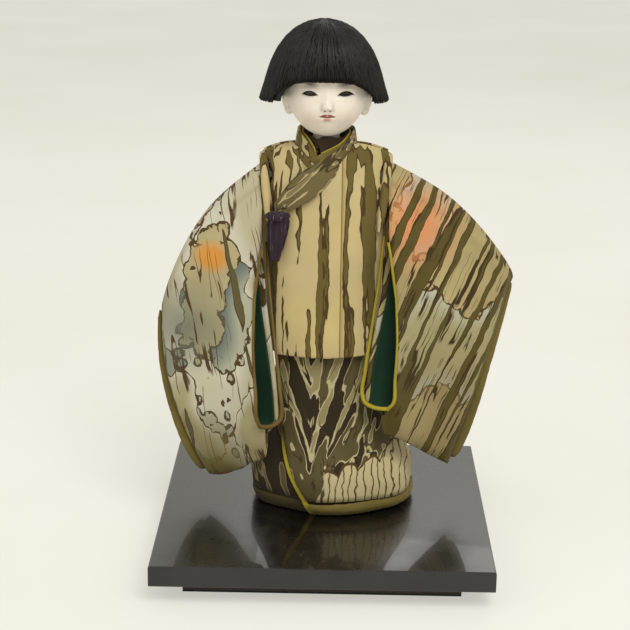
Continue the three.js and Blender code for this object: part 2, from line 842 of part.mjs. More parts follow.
// Vest: back, right front below and left front lapped over it
function buildVest(fatCollars) {
  const tuckRows = [tuckHeight - tuckFold, tuckHeight + tuckFold];
  const rows = [vestHem, (vestHem + tuckHeight) / 2, ...tuckRows, chestHeight, ...domeRows];
  const seam = 90;
  const fullTurn = 360;
  const seamGap = gap / chestHalfWidth;
  const panel = (columns, from, to, lift) => wall(
    (angle, row) => onVest(angle, row, lift(angle, row) + vestThickness),
    (angle, row) => onVest(angle, row, lift(angle, row)),
    spread(columns, radians(from) + seamGap, radians(to) - seamGap),
    rows,
  );
  const flat = () => 0;
  const lapped = (angle, row) => {
    const over = 1 - smooth(angle, radians(vestUnderlap), radians(vestUnderlap + lapFade));
    const fold = row < tuckHeight ? 0 : 1 - smooth(row, tuckHeight, chestHeight);
    return (vestThickness + layerGap) * over + tuckDepth * fold * smooth(angle, 0, radians(seam));
  };
  const far = 2 * boardWidth;
  const neckEdge = neckHalfWidth - collarThickness;
  const neckCut = (side, line) => prism([
    ...line,
    [side * neckEdge, shoulderHeight],
    [side * neckEdge, far],
    [line[0][0], far],
  ], -far, gap);
  const leftNeck = neckCut(1, [[tieX - far, tieHeight], [tieX, tieHeight], [crossingX, crossingHeight]]);
  const rightFoot = crossingHeight - vestNeckDrop;
  const rightNeck = neckCut(-1, [[far, rightFoot], [vestNeckDrop, rightFoot]]);
  const cuts = [neckHole(), ...armholes(), ...fatCollars];
  const back = panel(vestBackColumns, seam, fullTurn - seam, flat);
  const right = panel(vestRightColumns, -seam, vestUnderlap, flat);
  const left = panel(vestLeftColumns, vestLap, seam, lapped);
  add(doll, "vest_back", carve(back, ...cuts), barkCloth);
  add(doll, "vest_right_front", carve(right, rightNeck, ...cuts), creamCloth);
  add(doll, "vest_left_front", carve(left, leftNeck, ...cuts), creamCloth);
}

// Ribbon tie: a knot on the end of the collar band, with two folded loops hanging from it
const lapelTop = 2 * vestThickness + layerGap + gap + collarThickness;

function knotSolid(spare) {
  const depth = chestFront(tieX, tieHeight, lapelTop) - knotHalfDepth;
  return new THREE.SphereGeometry(1, knotSides, smallSides)
    .scale(knotHalfWidth + spare, knotHalfDepth + spare, knotHalfHeight + spare)
    .translate(tieX, depth, tieHeight);
}

function buildTie() {
  const loop = (lift, spreadBy, length) => {
    const place = (offset) => (across, down) => {
      const width = lerp(tieLoopTopWidth, tieLoopWidth + spreadBy, smooth(down, 0, tieSpreadEnd));
      const x = tieX + tieLoopShift + (across - 1 / 2) * width;
      const height = tieHeight - knotHalfHeight / 2 - down * length;
      const ripple = tieRipple * Math.cos(across * 2 * tieRipples * Math.PI) * smooth(down, 0, 1);
      return new THREE.Vector3(x, chestFront(x, height, lapelTop) - lift - ripple - offset, height);
    };
    return wall(place(tieRibbonThickness), place(0), spread(tieColumns), spread(tieLevels));
  };
  add(doll, "tie_knot", knotSolid(0), purpleCloth);
  const rear = loop(gap, tieRearSpread, tieLoopLength - tieRearShort);
  const front = loop(2 * gap + tieRibbonThickness, 0, tieLoopLength);
  add(doll, "tie_loop_rear", carve(rear, knotSolid(gap)), purpleCloth);
  add(doll, "tie_loop_front", carve(front, knotSolid(gap)), purpleCloth);
}

// Body block with the neck socket, padding, legs, feet and skirt stuffing
const coreForm = new THREE.CubicInterpolant(
  [coreBottom, (coreBottom + coreTop) / 2, coreTop],
  [
    coreHalfWidth, coreHalfDepth,
    coreHalfWidth, coreHalfDepth,
    coreShoulderHalfWidth, coreShoulderHalfDepth,
  ],
  2,
);

function coreRing(angle, height, spare) {
  const [halfWidth, halfDepth] = coreForm.evaluate(height);
  return ringPoint(angle, halfWidth + spare, halfDepth + spare, height);
}

function buildBody() {
  const socketFoot = pegBottom - 2 * gap;
  const core = loft(spread(stuffingLevels, coreBottom, coreTop).map((height) =>
    around(stuffingSteps).map((angle) => coreRing(angle, height, 0))));
  const cuts = [
    rod(socketRadius + gap, coreTop).translate(0, 0, socketFoot - gap),
    rod(postRadius + 2 * gap, postHeight + postRadius / 2).translate(0, postBehind, 0),
  ];
  for (const side of [-1, 1]) {
    const dowelHole = rod(dowelRadius + gap, dowelLength + gap, smallSides).rotateY(side * Math.PI / 2);
    cuts.push(dowelHole.translate(side * (pivotX - dowelLength - gap), 0, pivotHeight));
    const tenonHole = rod(legTenonRadius + gap, legTenonLength + gap, smallSides);
    cuts.push(tenonHole.translate(side * legSpread, 0, coreBottom));
  }
  add(doll, "torso_core", carve(core, ...cuts), paleWood);
  const socket = turned([
    [pegRadius + gap, socketFoot],
    [socketRadius, socketFoot],
    [socketRadius, coreTop],
    [pegRadius + gap, coreTop],
    [pegRadius + gap, socketFoot],
  ]);
  add(doll, "neck_socket", socket, darkWood);

  const padding = wall(
    (angle, row) => onKimono(angle, row, -kimonoThickness - layerGap),
    (angle, row) => coreRing(angle, onKimono(angle, row, -kimonoThickness - layerGap).z, layerGap),
    around(stuffingSteps),
    spread(stuffingLevels, paddingBottom, paddingTop),
    true,
  );
  add(doll, "torso_padding", padding, cotton);

  const wadBottom = 2 * gap;
  const wadRing = (row, inset) => around(ringSteps).map((angle) => kimonoBare(angle, row, -inset));
  const wadding = loft([
    wadRing(wadBottom, hemRollDepth + layerGap),
    wadRing(hemRollHeight, hemRollDepth + layerGap),
    ...skirtRows.map((row) => wadRing(Math.min(row + gap, coreBottom - gap), kimonoThickness + layerGap)),
  ]);
  const hollows = [rod(postRadius + 2 * gap, postHeight).translate(0, postBehind, 0)];
  const legTop = coreBottom - gap;
  const legFoot = footHeight + 2 * gap;
  for (const [name, side] of [["right", -1], ["left", 1]]) {
    const leg = turned([
      [0, legFoot],
      [legRadius, legFoot],
      [legRadius, legTop],
      [legTenonRadius, legTop],
      [legTenonRadius, legTop + legTenonLength],
      [0, legTop + legTenonLength],
    ], smallSides);
    add(doll, `${name}_leg`, leg.translate(side * legSpread, 0, 0), paleWood);
    hollows.push(rod(legRadius + gap, coreBottom, smallSides).translate(side * legSpread, 0, 0));
    const foot = (spare) => {
      const halves = [footHalfWidth + spare, footHalfLength + spare];
      const sole = new THREE.Shape().absellipse(0, 0, ...halves, 0, 2 * Math.PI);
      const options = { depth: footHeight + spare, bevelEnabled: false, curveSegments: smallSides };
      return new THREE.ExtrudeGeometry(sole, options)
        .translate(side * legSpread, -footForward, gap - spare);
    };
    add(doll, `${name}_foot`, foot(0), cotton);
    hollows.push(foot(gap));
  }
  add(doll, "skirt_wadding", carve(wadding, ...hollows), cotton);
}

// Head: shell with ears and neck, inlaid eyes, peg and hair
const headMiddle = (chinHeight + skullTop) / 2;
const headHalfHeight = (skullTop - chinHeight) / 2;

function headPoint(turn, tilt, spare) {
  const rise = Math.sin(tilt);
  const level = Math.cos(tilt);
  const low = Math.max(-rise, 0);
  const nape = Math.cos(turn) < 0 ? napeNarrowing * low ** 2 : 0;
  const x = Math.sin(turn) * level * (skullHalfWidth + spare);
  const y = -Math.cos(turn) * level * (skullHalfDepth + spare) * (1 - nape) - chinForward * low;
  return new THREE.Vector3(x, y, headMiddle + (headHalfHeight + spare) * rise);
}

function headSolid(spare) {
  const end = Math.PI / 2 - crownFlat;
  return loft(spread(headLevels, -end, end).map((tilt) =>
    around(headSteps).map((turn) => headPoint(turn, tilt, spare))));
}

function faceDepth(x, height) {
  const tilt = Math.asin((height - headMiddle) / headHalfHeight);
  return headPoint(Math.asin(x / (Math.cos(tilt) * skullHalfWidth)), tilt, 0).y;
}

function ball(halfWidth, halfDepth, halfHeight) {
  return new THREE.SphereGeometry(1, smallSides, smallSides - 2).scale(halfWidth, halfDepth, halfHeight);
}

function buildHead() {
  const neck = rod(neckRadius, chinHeight - neckBottom + neckRadius).translate(0, 0, neckBottom);
  const nose = ball(noseHalfWidth, noseLength, noseHalfHeight)
    .translate(0, faceDepth(0, noseHeight), noseHeight);
  const ear = (side, spare) => ball(earThickness + spare, earHalfDepth + spare, earHalfHeight + spare)
    .translate(side * (skullHalfWidth - earThickness / 3), 0, earHeight);
  const eye = (side, spare) => ball(eyeHalfWidth + spare, eyeHalfDepth + spare, eyeHalfHeight + spare)
    .rotateZ(side * Math.asin(eyeSpread / skullHalfDepth))
    .translate(side * eyeSpread, faceDepth(eyeSpread, eyeHeight) + eyeHalfDepth - eyeProud, eyeHeight);
  const pegTop = neckBottom + pegInHead;
  const peg = turned([
    [0, pegBottom],
    [pegRadius - pegChamfer, pegBottom],
    [pegRadius, pegBottom + pegChamfer],
    [pegRadius, pegTop],
    [0, pegTop],
  ]);
  const bore = rod(pegRadius + gap, pegTop + gap - pegBottom).translate(0, 0, pegBottom);
  const shell = join(headSolid(0), neck, nose, ear(-1, 0), ear(1, 0));
  add(doll, "head_shell", carve(shell, bore, eye(-1, gap), eye(1, gap)), shellWhite);
  add(doll, "right_eye", eye(-1, 0), eyeGlass);
  add(doll, "left_eye", eye(1, 0), eyeGlass);
  add(doll, "neck_peg", peg, paleWood);

  const bob = loft(hairForm.map(([rise, halfWidth, front, behind]) => around(ringSteps).map((angle) => {
    const halfDepth = Math.cos(angle) > 0 ? front : behind;
    return ringPoint(angle, halfWidth, halfDepth, chinHeight + rise, hairShift);
  })));
  const far = 2 * boardWidth;
  const rim = chinHeight + hairForm[0][0];
  const windowHalf = [
    [lockHalfWidth, rim - far],
    [lockHalfWidth, rim + lockStep],
    [fringeHalfWidth + lockStep / 2, fringeHeight - lockStep],
    [fringeHalfWidth - lockStep / 2, fringeHeight - fringeDip],
    [fringeHalfWidth / 2, fringeHeight],
  ];
  const window = prism([
    ...windowHalf,
    ...windowHalf.toReversed().map(([x, height]) => [-x, height]),
  ], -far, 0);
  add(doll, "hair", carve(bob, headSolid(gap), ear(-1, gap), ear(1, gap), window), blackHair);
}

// One arm: shoulder dowel and pin, rod, padding and hand
function buildArm(name, sleeve) {
  const { side, armAngle, armLean } = sleeve;
  const shoulder = new THREE.Group();
  shoulder.position.set(side * pivotX, 0, pivotHeight);
  shoulder.rotation.x = -radians(armLean);
  doll.add(shoulder);
  const limb = new THREE.Group();
  limb.rotation.y = -side * radians(armAngle);
  shoulder.add(limb);

  const capsule = (radius, length) => {
    const shape = new THREE.Shape().absarc(0, 0, radius, 0, Math.PI);
    shape.lineTo(-radius, -length);
    shape.lineTo(radius, -length);
    shape.closePath();
    return shape;
  };
  const plate = (shape, yFront, yBack) => new THREE.ExtrudeGeometry(
    shape,
    { depth: yBack - yFront, bevelEnabled: false, curveSegments: plateSteps },
  ).rotateX(Math.PI / 2).translate(0, yBack, 0);
  const halfTongue = tongueThickness / 2;
  const pinLength = 2 * (halfTongue + gap + forkThickness) + 2 * gap;
  const pinHole = rod(pinRadius + gap, 2 * pinLength, smallSides)
    .rotateX(Math.PI / 2)
    .translate(0, pinLength, 0);
  const tongue = plate(capsule(tongueRadius, dowelRadius * 2), -halfTongue, halfTongue)
    .rotateY(side * Math.PI / 2);
  const dowelBar = rod(dowelRadius, dowelLength - tongueRadius - gap, smallSides)
    .rotateY(side * Math.PI / 2)
    .translate(-side * dowelLength, 0, 0);
  add(shoulder, `${name}_shoulder_dowel`, carve(join(dowelBar, tongue), pinHole), paleWood);
  const pin = rod(pinRadius, pinLength, smallSides).rotateX(Math.PI / 2).translate(0, pinLength / 2, 0);
  add(shoulder, `${name}_shoulder_pin`, pin, steel);

  const cheek = halfTongue + gap;
  const forkOuter = cheek + forkThickness;
  const forkLength = armStart - gap;
  const bridgeHeight = forkLength - tongueRadius - 2 * gap;
  const fork = [
    plate(capsule(forkRadius, forkLength), -forkOuter, -cheek),
    plate(capsule(forkRadius, forkLength), cheek, forkOuter),
    block(2 * forkRadius, 2 * forkOuter, bridgeHeight).translate(0, 0, -forkLength),
    rod(rodRadius, armLength - forkLength + gap, smallSides).translate(0, 0, -armLength),
  ];
  add(limb, `${name}_arm_rod`, carve(join(...fork), pinHole), steel);
  const padding = turned([
    [rodRadius + gap, -armLength],
    [armRootRadius, -armLength],
    [armRadius, -armLength * forearmShare],
    [armRadius, -armLength * upperArmShare],
    [armRootRadius, -armStart],
    [rodRadius + gap, -armStart],
    [rodRadius + gap, -armLength],
  ], smallSides);
  add(limb, `${name}_arm_padding`, padding, cotton);
  const hand = ball(handHalfWidth, handHalfDepth, handLength / 2)
    .translate(0, 0, -armLength - gap - handLength / 2);
  add(limb, `${name}_hand`, hand, shellWhite);
}

// One sleeve: a padded bag that hangs from the arm, open along its inner edge, with its lining
function buildSleeve(name, sleeve) {
  const { side, mouthForward, toeForward, mouthFlare } = sleeve;
  const hang = new THREE.Group();
  hang.position.set(side * pivotX, 0, pivotHeight);
  doll.add(hang);
  const place = (key) => {
    const [out, rise] = sleeve.fromPivot[key] ?? sleeve.fromBoard[key];
    return new THREE.Vector2(out, key in sleeve.fromBoard ? rise - pivotHeight : rise);
  };
  const curve = (...keys) => new THREE.QuadraticBezierCurve(...keys.map(place));
  const top = curve("rootTop", "topSwell", "corner");
  const sole = curve("mouthEnd", "soleSwell", "toe");
  const inner = curve("rootTop", "mouthSwell", "mouthEnd");
  const outer = curve("corner", "outerSwell", "toe");
  const outline = (u, v) => top.getPoint(v).multiplyScalar(1 - u)
    .addScaledVector(sole.getPoint(v), u)
    .addScaledVector(inner.getPoint(u), 1 - v)
    .addScaledVector(outer.getPoint(u), v)
    .addScaledVector(place("rootTop"), (u - 1) * (1 - v))
    .addScaledVector(place("corner"), (u - 1) * v)
    .addScaledVector(place("mouthEnd"), u * (v - 1))
    .addScaledVector(place("toe"), -u * v);
  const roundOff = (share) => Math.sqrt(1 - (1 - THREE.MathUtils.clamp(share, 0, 1)) ** 2);
  const fullness = (u, v) => {
    const full = lerp(sleeveArmFullness, sleeveBagFullness, smooth(u, ...sleeveArmEnd)) - sleeveEdge;
    const ends = roundOff(u / sleeveRootRound) * roundOff((1 - u) / sleeveSoleRound);
    return sleeveEdge + full * ends * roundOff((1 - v) / sleeveOuterRound);
  };
  const forward = (u, v) => {
    const fall = THREE.MathUtils.clamp((u - sleeveHangStart) / (1 - sleeveHangStart), 0, 1);
    return lerp(mouthForward, toeForward, v) * fall ** sleeveHangBend;
  };
  const folds = (u, v) => {
    const wave = Math.sin(v * sleeveFoldTurn + 2 * u) * smooth(v, 0, sleeveInnerRun) * (1 - v);
    return sleeveFold * smooth(u, ...sleeveFoldRun) * wave;
  };
  const layer = (facing, inset) => (u, v) => {
    const flat = outline(u, v);
    const inside = 1 - smooth(v, 0, sleeveInnerRun);
    const flare = mouthFlare * smooth(u, ...sleeveFlareRun) * inside;
    const tuck = sleeveRootTuck * (1 - smooth(u, ...sleeveRootEnd)) * inside;
    const half = Math.max(fullness(u, v) / 2 - inset, gap);
    const depth = -forward(u, v) + folds(u, v) + facing * half;
    return new THREE.Vector3(side * (flat.x - facing * flare - tuck), depth, flat.y);
  };
  const bagLength = -place("toe").y;
  const bagWidth = place("corner").x;
  const bag = (inset, rim, mouth) => {
    const us = sleeveDowns.map((u) => lerp(rim / bagLength, 1 - rim / bagLength, u));
    const vs = sleeveOuts.map((v) => lerp(mouth, 1 - rim / bagWidth, v));
    return wall(layer(-1, inset), layer(1, inset), us, vs);
  };
  const hollow = sleeveWall + layerGap + gap;
  const liningEdge = sleeveRim + liningRim;
  const cloth = carve(bag(0, 0, 0), bag(sleeveWall, sleeveRim, pastMouth));
  const liningBag = bag(hollow, liningEdge, liningTuck);
  const lining = carve(liningBag, bag(hollow + liningWall, liningEdge + liningRim, pastMouth));
  add(hang, `${name}_sleeve`, cloth, side > 0 ? barkCloth : creamCloth);
  add(hang, `${name}_sleeve_lining`, lining, greenCloth);

  const soleOut = place("mouthEnd").sub(place("soleSwell")).normalize();
  const pipingOff = pipingRadius + 3 * gap;
  const mouthEdge = (facing, u) => {
    const out = new THREE.Vector2(-1, 0).lerp(soleOut, smooth(u, pipingTurn, 1)).setLength(pipingOff);
    return layer(facing, 0)(u, 0).add(new THREE.Vector3(side * out.x, 0, out.y));
  };
  const mouthRun = [pipingStart, ...sleeveDowns.filter((u) => u > pipingStart && u < mouthSeam), mouthSeam];
  const pipingPath = [
    ...mouthRun.map((u) => mouthEdge(-1, u)),
    ...mouthRun.toReversed().map((u) => mouthEdge(1, u)),
  ];
  add(hang, `${name}_sleeve_piping`, tube(pipingPath, pipingRadius, pipingSides, pipingSteps), yellowCloth);
  const cuffPath = spread(bandSteps, ...cuffRun).map((u) => {
    const along = outer.getTangent(u);
    const edge = outer.getPoint(u).addScaledVector(new THREE.Vector2(-along.y, along.x), cuffRadius + gap);
    return new THREE.Vector3(side * edge.x, -forward(u, 1), edge.y);
  });
  add(hang, `${name}_cuff_roll`, tube(cuffPath, cuffRadius, smallSides, cuffSteps), oliveCloth);
}

buildBase();
buildBody();
const fatCollars = buildCollars();
buildSkirt(fatCollars);
buildInnerCollar();
buildVest(fatCollars);
buildTie();
buildHead();
for (const [name, sleeve] of Object.entries(sleeves)) {
  buildArm(name, sleeve);
  buildSleeve(name, sleeve);
}

export default part;
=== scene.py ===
import json
import math
import random

import bpy
import numpy as np
from mathutils import Matrix, Vector, kdtree, noise


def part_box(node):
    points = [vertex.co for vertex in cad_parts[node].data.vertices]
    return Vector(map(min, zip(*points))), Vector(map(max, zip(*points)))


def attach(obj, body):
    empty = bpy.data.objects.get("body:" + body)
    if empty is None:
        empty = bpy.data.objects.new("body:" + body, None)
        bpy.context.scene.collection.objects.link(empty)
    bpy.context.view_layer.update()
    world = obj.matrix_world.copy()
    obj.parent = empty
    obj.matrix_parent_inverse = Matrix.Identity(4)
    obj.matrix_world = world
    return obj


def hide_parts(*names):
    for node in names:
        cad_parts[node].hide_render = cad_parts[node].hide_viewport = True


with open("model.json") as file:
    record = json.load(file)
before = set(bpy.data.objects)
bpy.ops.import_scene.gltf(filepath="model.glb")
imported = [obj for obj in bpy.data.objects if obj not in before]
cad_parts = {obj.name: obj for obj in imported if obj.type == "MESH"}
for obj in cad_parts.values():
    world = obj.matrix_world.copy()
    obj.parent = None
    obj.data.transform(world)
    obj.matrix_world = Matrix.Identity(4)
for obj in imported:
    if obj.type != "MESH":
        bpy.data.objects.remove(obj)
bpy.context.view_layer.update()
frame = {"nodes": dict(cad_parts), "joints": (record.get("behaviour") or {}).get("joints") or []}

scene = bpy.context.scene
mm = 0.001
dollX, dollY = next(joint for joint in frame["joints"] if joint["name"] == "head_turn")["pos_m"][:2]
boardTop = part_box("base_board")[1].z


def atDoll(x, y, height):  # millimetres from the doll's foot to the shared frame
    return Vector((dollX + x * mm, dollY + y * mm, boardTop + height * mm))


# Camera, light and floor
photoCamera = {"place": (0.00484, -1.06524, 0.4830), "pitch": 16.83, "yaw": -0.68, "roll": 0.74, "lens": 95.02}
studio = {
    "world": ("#fffdf8", 0.58),
    "farTone": "#e9e7dd",
    "key": ((0.45, -1.1, 1.6), 1.0, 20.0),
    "fill": ((-1.2, -0.8, 0.9), 1.2, 3.0),
    "rear": ((0.3, 1.3, 1.2), 1.0, 4.0),
    "aim": (0.0, 0.0, 0.18),
    "floorSize": 24.0,
    "floor": "#f1efe4",
    "glow": 0.55,
}


def hexColour(text):  # sRGB hex to linear
    channels = [int(text[i:i + 2], 16) / 255 for i in (1, 3, 5)]
    linear = [c / 12.92 if c <= 0.04045 else ((c + 0.055) / 1.055) ** 2.4 for c in channels]
    return (*linear, 1.0)


# Adds a node with its settings and links. Its operation may follow its kind, its inputs go by number or name, a text
# value is a colour, and a socket is linked.
def put(tree, kind, inputs=(), out=0, stops=(), **settings):
    kind, *operation = kind.split()
    node = tree.nodes.new("ShaderNode" + kind)
    for value in operation:
        node.operation = value
    for key, value in settings.items():
        setattr(node, key, value)
    for key, value in inputs.items() if isinstance(inputs, dict) else enumerate(inputs):
        if isinstance(value, bpy.types.NodeSocket):
            tree.links.new(value, node.inputs[key])
        else:
            node.inputs[key].default_value = hexColour(value) if isinstance(value, str) else value
    for i, (position, colour) in enumerate(stops):
        elements = node.color_ramp.elements
        stop = elements[i] if i < 2 else elements.new(position)
        stop.position = position
        stop.color = hexColour(colour)
    return [node.outputs[name] for name in out] if isinstance(out, tuple) else node.outputs[out]


def apart(tree, value, other):  # how far two values are apart
    return put(tree, "Math ABSOLUTE", (put(tree, "Math SUBTRACT", (value, other)),))


noiseSpan = (0.3, 0.7)  # where most of a noise lies


def startMaterial(name, colour, **sockets):
    material = bpy.data.materials.new(name)
    material.use_nodes = True
    tree = material.node_tree
    shader = tree.nodes["Principled BSDF"]
    shader.inputs["Base Color"].default_value = hexColour(colour)
    for key, value in sockets.items():
        shader.inputs[key.replace("_", " ")].default_value = value
    return material, tree, shader


def millimetres(tree):  # places on the doll in millimetres, from its foot
    where = put(tree, "TexCoord", out="Object")
    foot = (-dollX / mm, -dollY / mm, -boardTop / mm)
    return put(tree, "Mapping", {"Vector": where, "Scale": (1 / mm,) * 3, "Location": foot})


# A material with mottled colours; its grain's width and length are in millimetres
def startMottled(name, colour, stops, grain, detail, **sockets):
    material, tree, shader = startMaterial(name, colour, **sockets)
    place = millimetres(tree)
    wide, long = grain
    stretched = put(tree, "Mapping", {"Vector": place, "Scale": (1 / wide, 1 / wide, 1 / long)})
    field = put(tree, "TexNoise", {"Vector": stretched, "Scale": 1.0, "Detail": detail})
    tone = put(tree, "ValToRGB", (field,), stops=stops)
    tree.links.new(tone, shader.inputs["Base Color"])
    return material, tree, shader, place, field, tone


def addCamera():
    pitch, yaw, roll = (math.radians(photoCamera[key]) for key in ("pitch", "yaw", "roll"))
    ahead = Vector((math.sin(yaw) * math.cos(pitch), math.cos(yaw) * math.cos(pitch), -math.sin(pitch)))
    right = Vector((math.cos(yaw), -math.sin(yaw), 0))
    up = right.cross(ahead)
    level = [right * math.cos(roll) + up * math.sin(roll), up * math.cos(roll) - right * math.sin(roll), -ahead]
    turn = Matrix(level).transposed().to_4x4()
    bpy.ops.object.camera_add()
    camera = bpy.context.object
    camera.matrix_world = Matrix.Translation(photoCamera["place"]) @ turn
    camera.data.lens = photoCamera["lens"]
    camera.data.clip_end = 100
    scene.camera = camera


def seenRays(tree):  # 1 for what the camera sees, straight or in gloss or glass
    straight, gloss, glass = put(tree, "LightPath", out=("Is Camera Ray", "Is Glossy Ray", "Is Transmission Ray"))
    return put(tree, "Math MAXIMUM", (put(tree, "Math MAXIMUM", (straight, gloss)), glass))


def addStudio():
    world = bpy.data.worlds.new("softRoom")
    scene.world = world
    world.use_nodes = True
    colour, strength = studio["world"]
    tree = world.node_tree
    background = tree.nodes["Background"]
    background.inputs["Color"].default_value = hexColour(colour)
    background.inputs["Strength"].default_value = strength
    far = put(tree, "Background", {"Color": studio["farTone"]})
    mixed = put(tree, "MixShader", (seenRays(tree), background.outputs[0], far))
    tree.links.new(mixed, tree.nodes["World Output"].inputs["Surface"])
    for name in ("key", "fill", "rear"):
        place, size, watts = studio[name]
        bpy.ops.object.light_add(type="AREA", location=place)
        lamp = bpy.context.object
        lamp.name = name + "Lamp"
        lamp.data.size = size
        lamp.data.energy = watts
        lamp.rotation_euler = (Vector(studio["aim"]) - Vector(place)).to_track_quat("-Z", "Y").to_euler()
    bpy.ops.mesh.primitive_plane_add(size=studio["floorSize"])
    floor = bpy.context.object
    floor.name = "floor"
    material, tree, shader = startMaterial("paperFloor", studio["floor"], Roughness=0.9)
    where = put(tree, "TexCoord", out="Object")
    mottle = put(tree, "TexNoise", {"Vector": where, "Scale": 3.0, "Detail": 3.0})
    tone = put(tree, "ValToRGB", {"Fac": mottle}, stops=[(0.3, "#efece1"), (0.7, "#f4f2e8")])
    tree.links.new(tone, shader.inputs["Base Color"])
    # a part of the pale tone is the background's own, seen by the camera and in gloss but not lighting the doll
    share = put(tree, "Math MULTIPLY", (seenRays(tree), studio["glow"]))
    pale = put(tree, "Emission", {"Color": tone})
    mixed = put(tree, "MixShader", (share, shader.outputs[0], pale))
    tree.links.new(mixed, tree.nodes["Material Output"].inputs["Surface"])
    floor.data.materials.append(material)
    scene.view_settings.view_transform = "Standard"


bpy.ops.object.select_all(action="DESELECT")
addCamera()
addStudio()
print("camera, light and floor made")


# Silk crepe: a dull cloth with a fine pebbled face and a faint sheen; its real pebbles of 0.4 mm are drawn
# at 1.1 mm to show. The painted patterns are bark streaks, outlined cloud shapes, washes and blushes; broad
# washes low on the sleeves are partly painted shade.
crepe = {"pebble": 1.1, "bumpDepth": 0.14, "bump": 0.6, "roughness": 0.78, "gloss": 0.18, "sheen": 0.08,
         "sheenTint": "#fff2d8", "drift": 48, "fade": 37, "faded": (0.9, 1.05), "bandSoft": 0.5}


def finishCrepe(tree, shader, place, colour):
    fade = put(tree, "TexNoise", {"Vector": place, "Scale": 1 / crepe["fade"], "Detail": 2.0})
    faded = put(tree, "MapRange", (fade, *noiseSpan, *crepe["faded"]))
    aged = put(tree, "MixRGB", (1.0, colour, faded), blend_type="MULTIPLY")
    tree.links.new(aged, shader.inputs["Base Color"])
    pebbles = put(tree, "TexNoise", {"Vector": place, "Scale": 1 / crepe["pebble"], "Detail": 1.0})
    bump = put(tree, "Bump", {"Strength": crepe["bump"], "Distance": crepe["bumpDepth"] * mm, "Height": pebbles})
    tree.links.new(bump, shader.inputs["Normal"])


# Streaks like bark: stretched noise, filled above its level and outlined along it. What a look leaves out is here.
bark = {"wobble": 5, "wobbleSize": 16, "slant": 0, "through": 0.6, "shift": (0, 0, 0), "soft": 0.008,
        "foldReach": 12, "foldPush": 8, "bare": -0.2, "bareFrom": -2, "bareTo": 3, "lifted": (0.46, 0.54)}


def barkStreaks(tree, place, ground, look):
    form = {**bark, **look}
    x, y, z = put(tree, "SeparateXYZ", (place,), out=("X", "Y", "Z"))
    bent = place
    if "foldAt" in form:  # the streaks run down to a line from both sides
        sideways = put(tree, "Math SUBTRACT", (x, form["foldAt"]))
        reach, push = form["foldReach"], form["foldPush"]
        other = put(tree, "MapRange", (sideways, -reach, reach, -push, push))
        bent = put(tree, "CombineXYZ", (
            put(tree, "Math ABSOLUTE", (sideways,)), put(tree, "Math ADD", (y, other)), z))
    wobble = put(tree, "TexNoise", {"Vector": bent, "Scale": 1 / form["wobbleSize"], "Detail": 2.0}, out="Color")
    push = put(tree, "VectorMath SCALE", {0: wobble, "Scale": form["wobble"]})
    moved = put(tree, "VectorMath ADD", (bent, push))
    slant = math.radians(form["slant"])
    turned = put(tree, "VectorRotate", {"Vector": moved, "Axis": (0, 1, 0), "Angle": slant})
    wide, long = 1 / form["width"], 1 / form["length"]
    stretched = put(tree, "Mapping", {
        "Vector": turned, "Scale": (wide, wide * form["through"], long), "Location": form["shift"]})
    field = put(tree, "TexNoise", {"Vector": stretched, "Scale": 1.0, "Detail": 1.0, "Roughness": 0.5})
    if "plain" in form:  # a stretch of the front that stays nearly bare
        middle, half = form["plain"]
        off = apart(tree, x, middle)
        bare = put(tree, "MapRange", (off, half + form["bareFrom"], half + form["bareTo"], form["bare"], 0))
        field = put(tree, "Math ADD", (field, bare))
    level, soft, colour = form["level"], form["soft"], ground
    if "fill" in form:
        inside = put(tree, "MapRange", (field, level - soft, level + soft))
        colour = put(tree, "MixRGB", (inside, ground, form["fill"]))
    away = apart(tree, field, level)
    line = put(tree, "MapRange", (away, form["line"], form["line"] + soft, 1, 0))
    if "broken" in form:  # the brush lifts off here and there
        gaps = put(tree, "TexNoise", {"Vector": place, "Scale": 1 / form["broken"], "Detail": 1.0})
        line = put(tree, "Math MULTIPLY", (line, put(tree, "MapRange", (gaps, *form["lifted"]))))
    return put(tree, "MixRGB", (line, colour, form["edge"]))


# Cloud shapes: a slow noise above a level, with a frayed and scalloped outline and a wash that fades inwards
cloudEdge = {"fray": 5, "frayed": 0.06, "scalloped": 0.09, "raised": 0.065, "wash": 0.1, "soft": 0.003,
             "line": (0.003, 0.013)}


def cloudShapes(tree, place, ground, cloud):
    form, level = cloudEdge, cloud["level"]
    scaled = put(tree, "Mapping", {"Vector": place, "Scale": (1, 0.5, cloud["squat"]), "Location": cloud["shift"]})
    slow = put(tree, "TexNoise", {"Vector": scaled, "Scale": 1 / cloud["size"], "Detail": 0.0})
    fray = put(tree, "TexNoise", {"Vector": place, "Scale": 1 / form["fray"], "Detail": 2.0})
    bumps = put(tree, "TexVoronoi", {"Vector": place, "Scale": 1 / cloud["scallop"]}, out="Distance")
    rough = put(tree, "Math MULTIPLY_ADD", (fray, form["frayed"], slow))
    rough = put(tree, "Math MULTIPLY_ADD", (bumps, form["scalloped"], rough))
    off = put(tree, "Math SUBTRACT", (rough, level + form["raised"]))
    wash = put(tree, "MapRange", (slow, level, level + form["wash"]))
    paint = put(tree, "MixRGB", (wash, cloud["rim"], cloud["middle"]))
    inside = put(tree, "MapRange", (off, -form["soft"], form["soft"]))
    colour = put(tree, "MixRGB", (inside, ground, paint))
    thin = put(tree, "MapRange", (fray, *noiseSpan, *form["line"]))
    line = put(tree, "Math LESS_THAN", (put(tree, "Math ABSOLUTE", (off,)), thin))
    return put(tree, "MixRGB", (line, colour, cloud["edge"]))


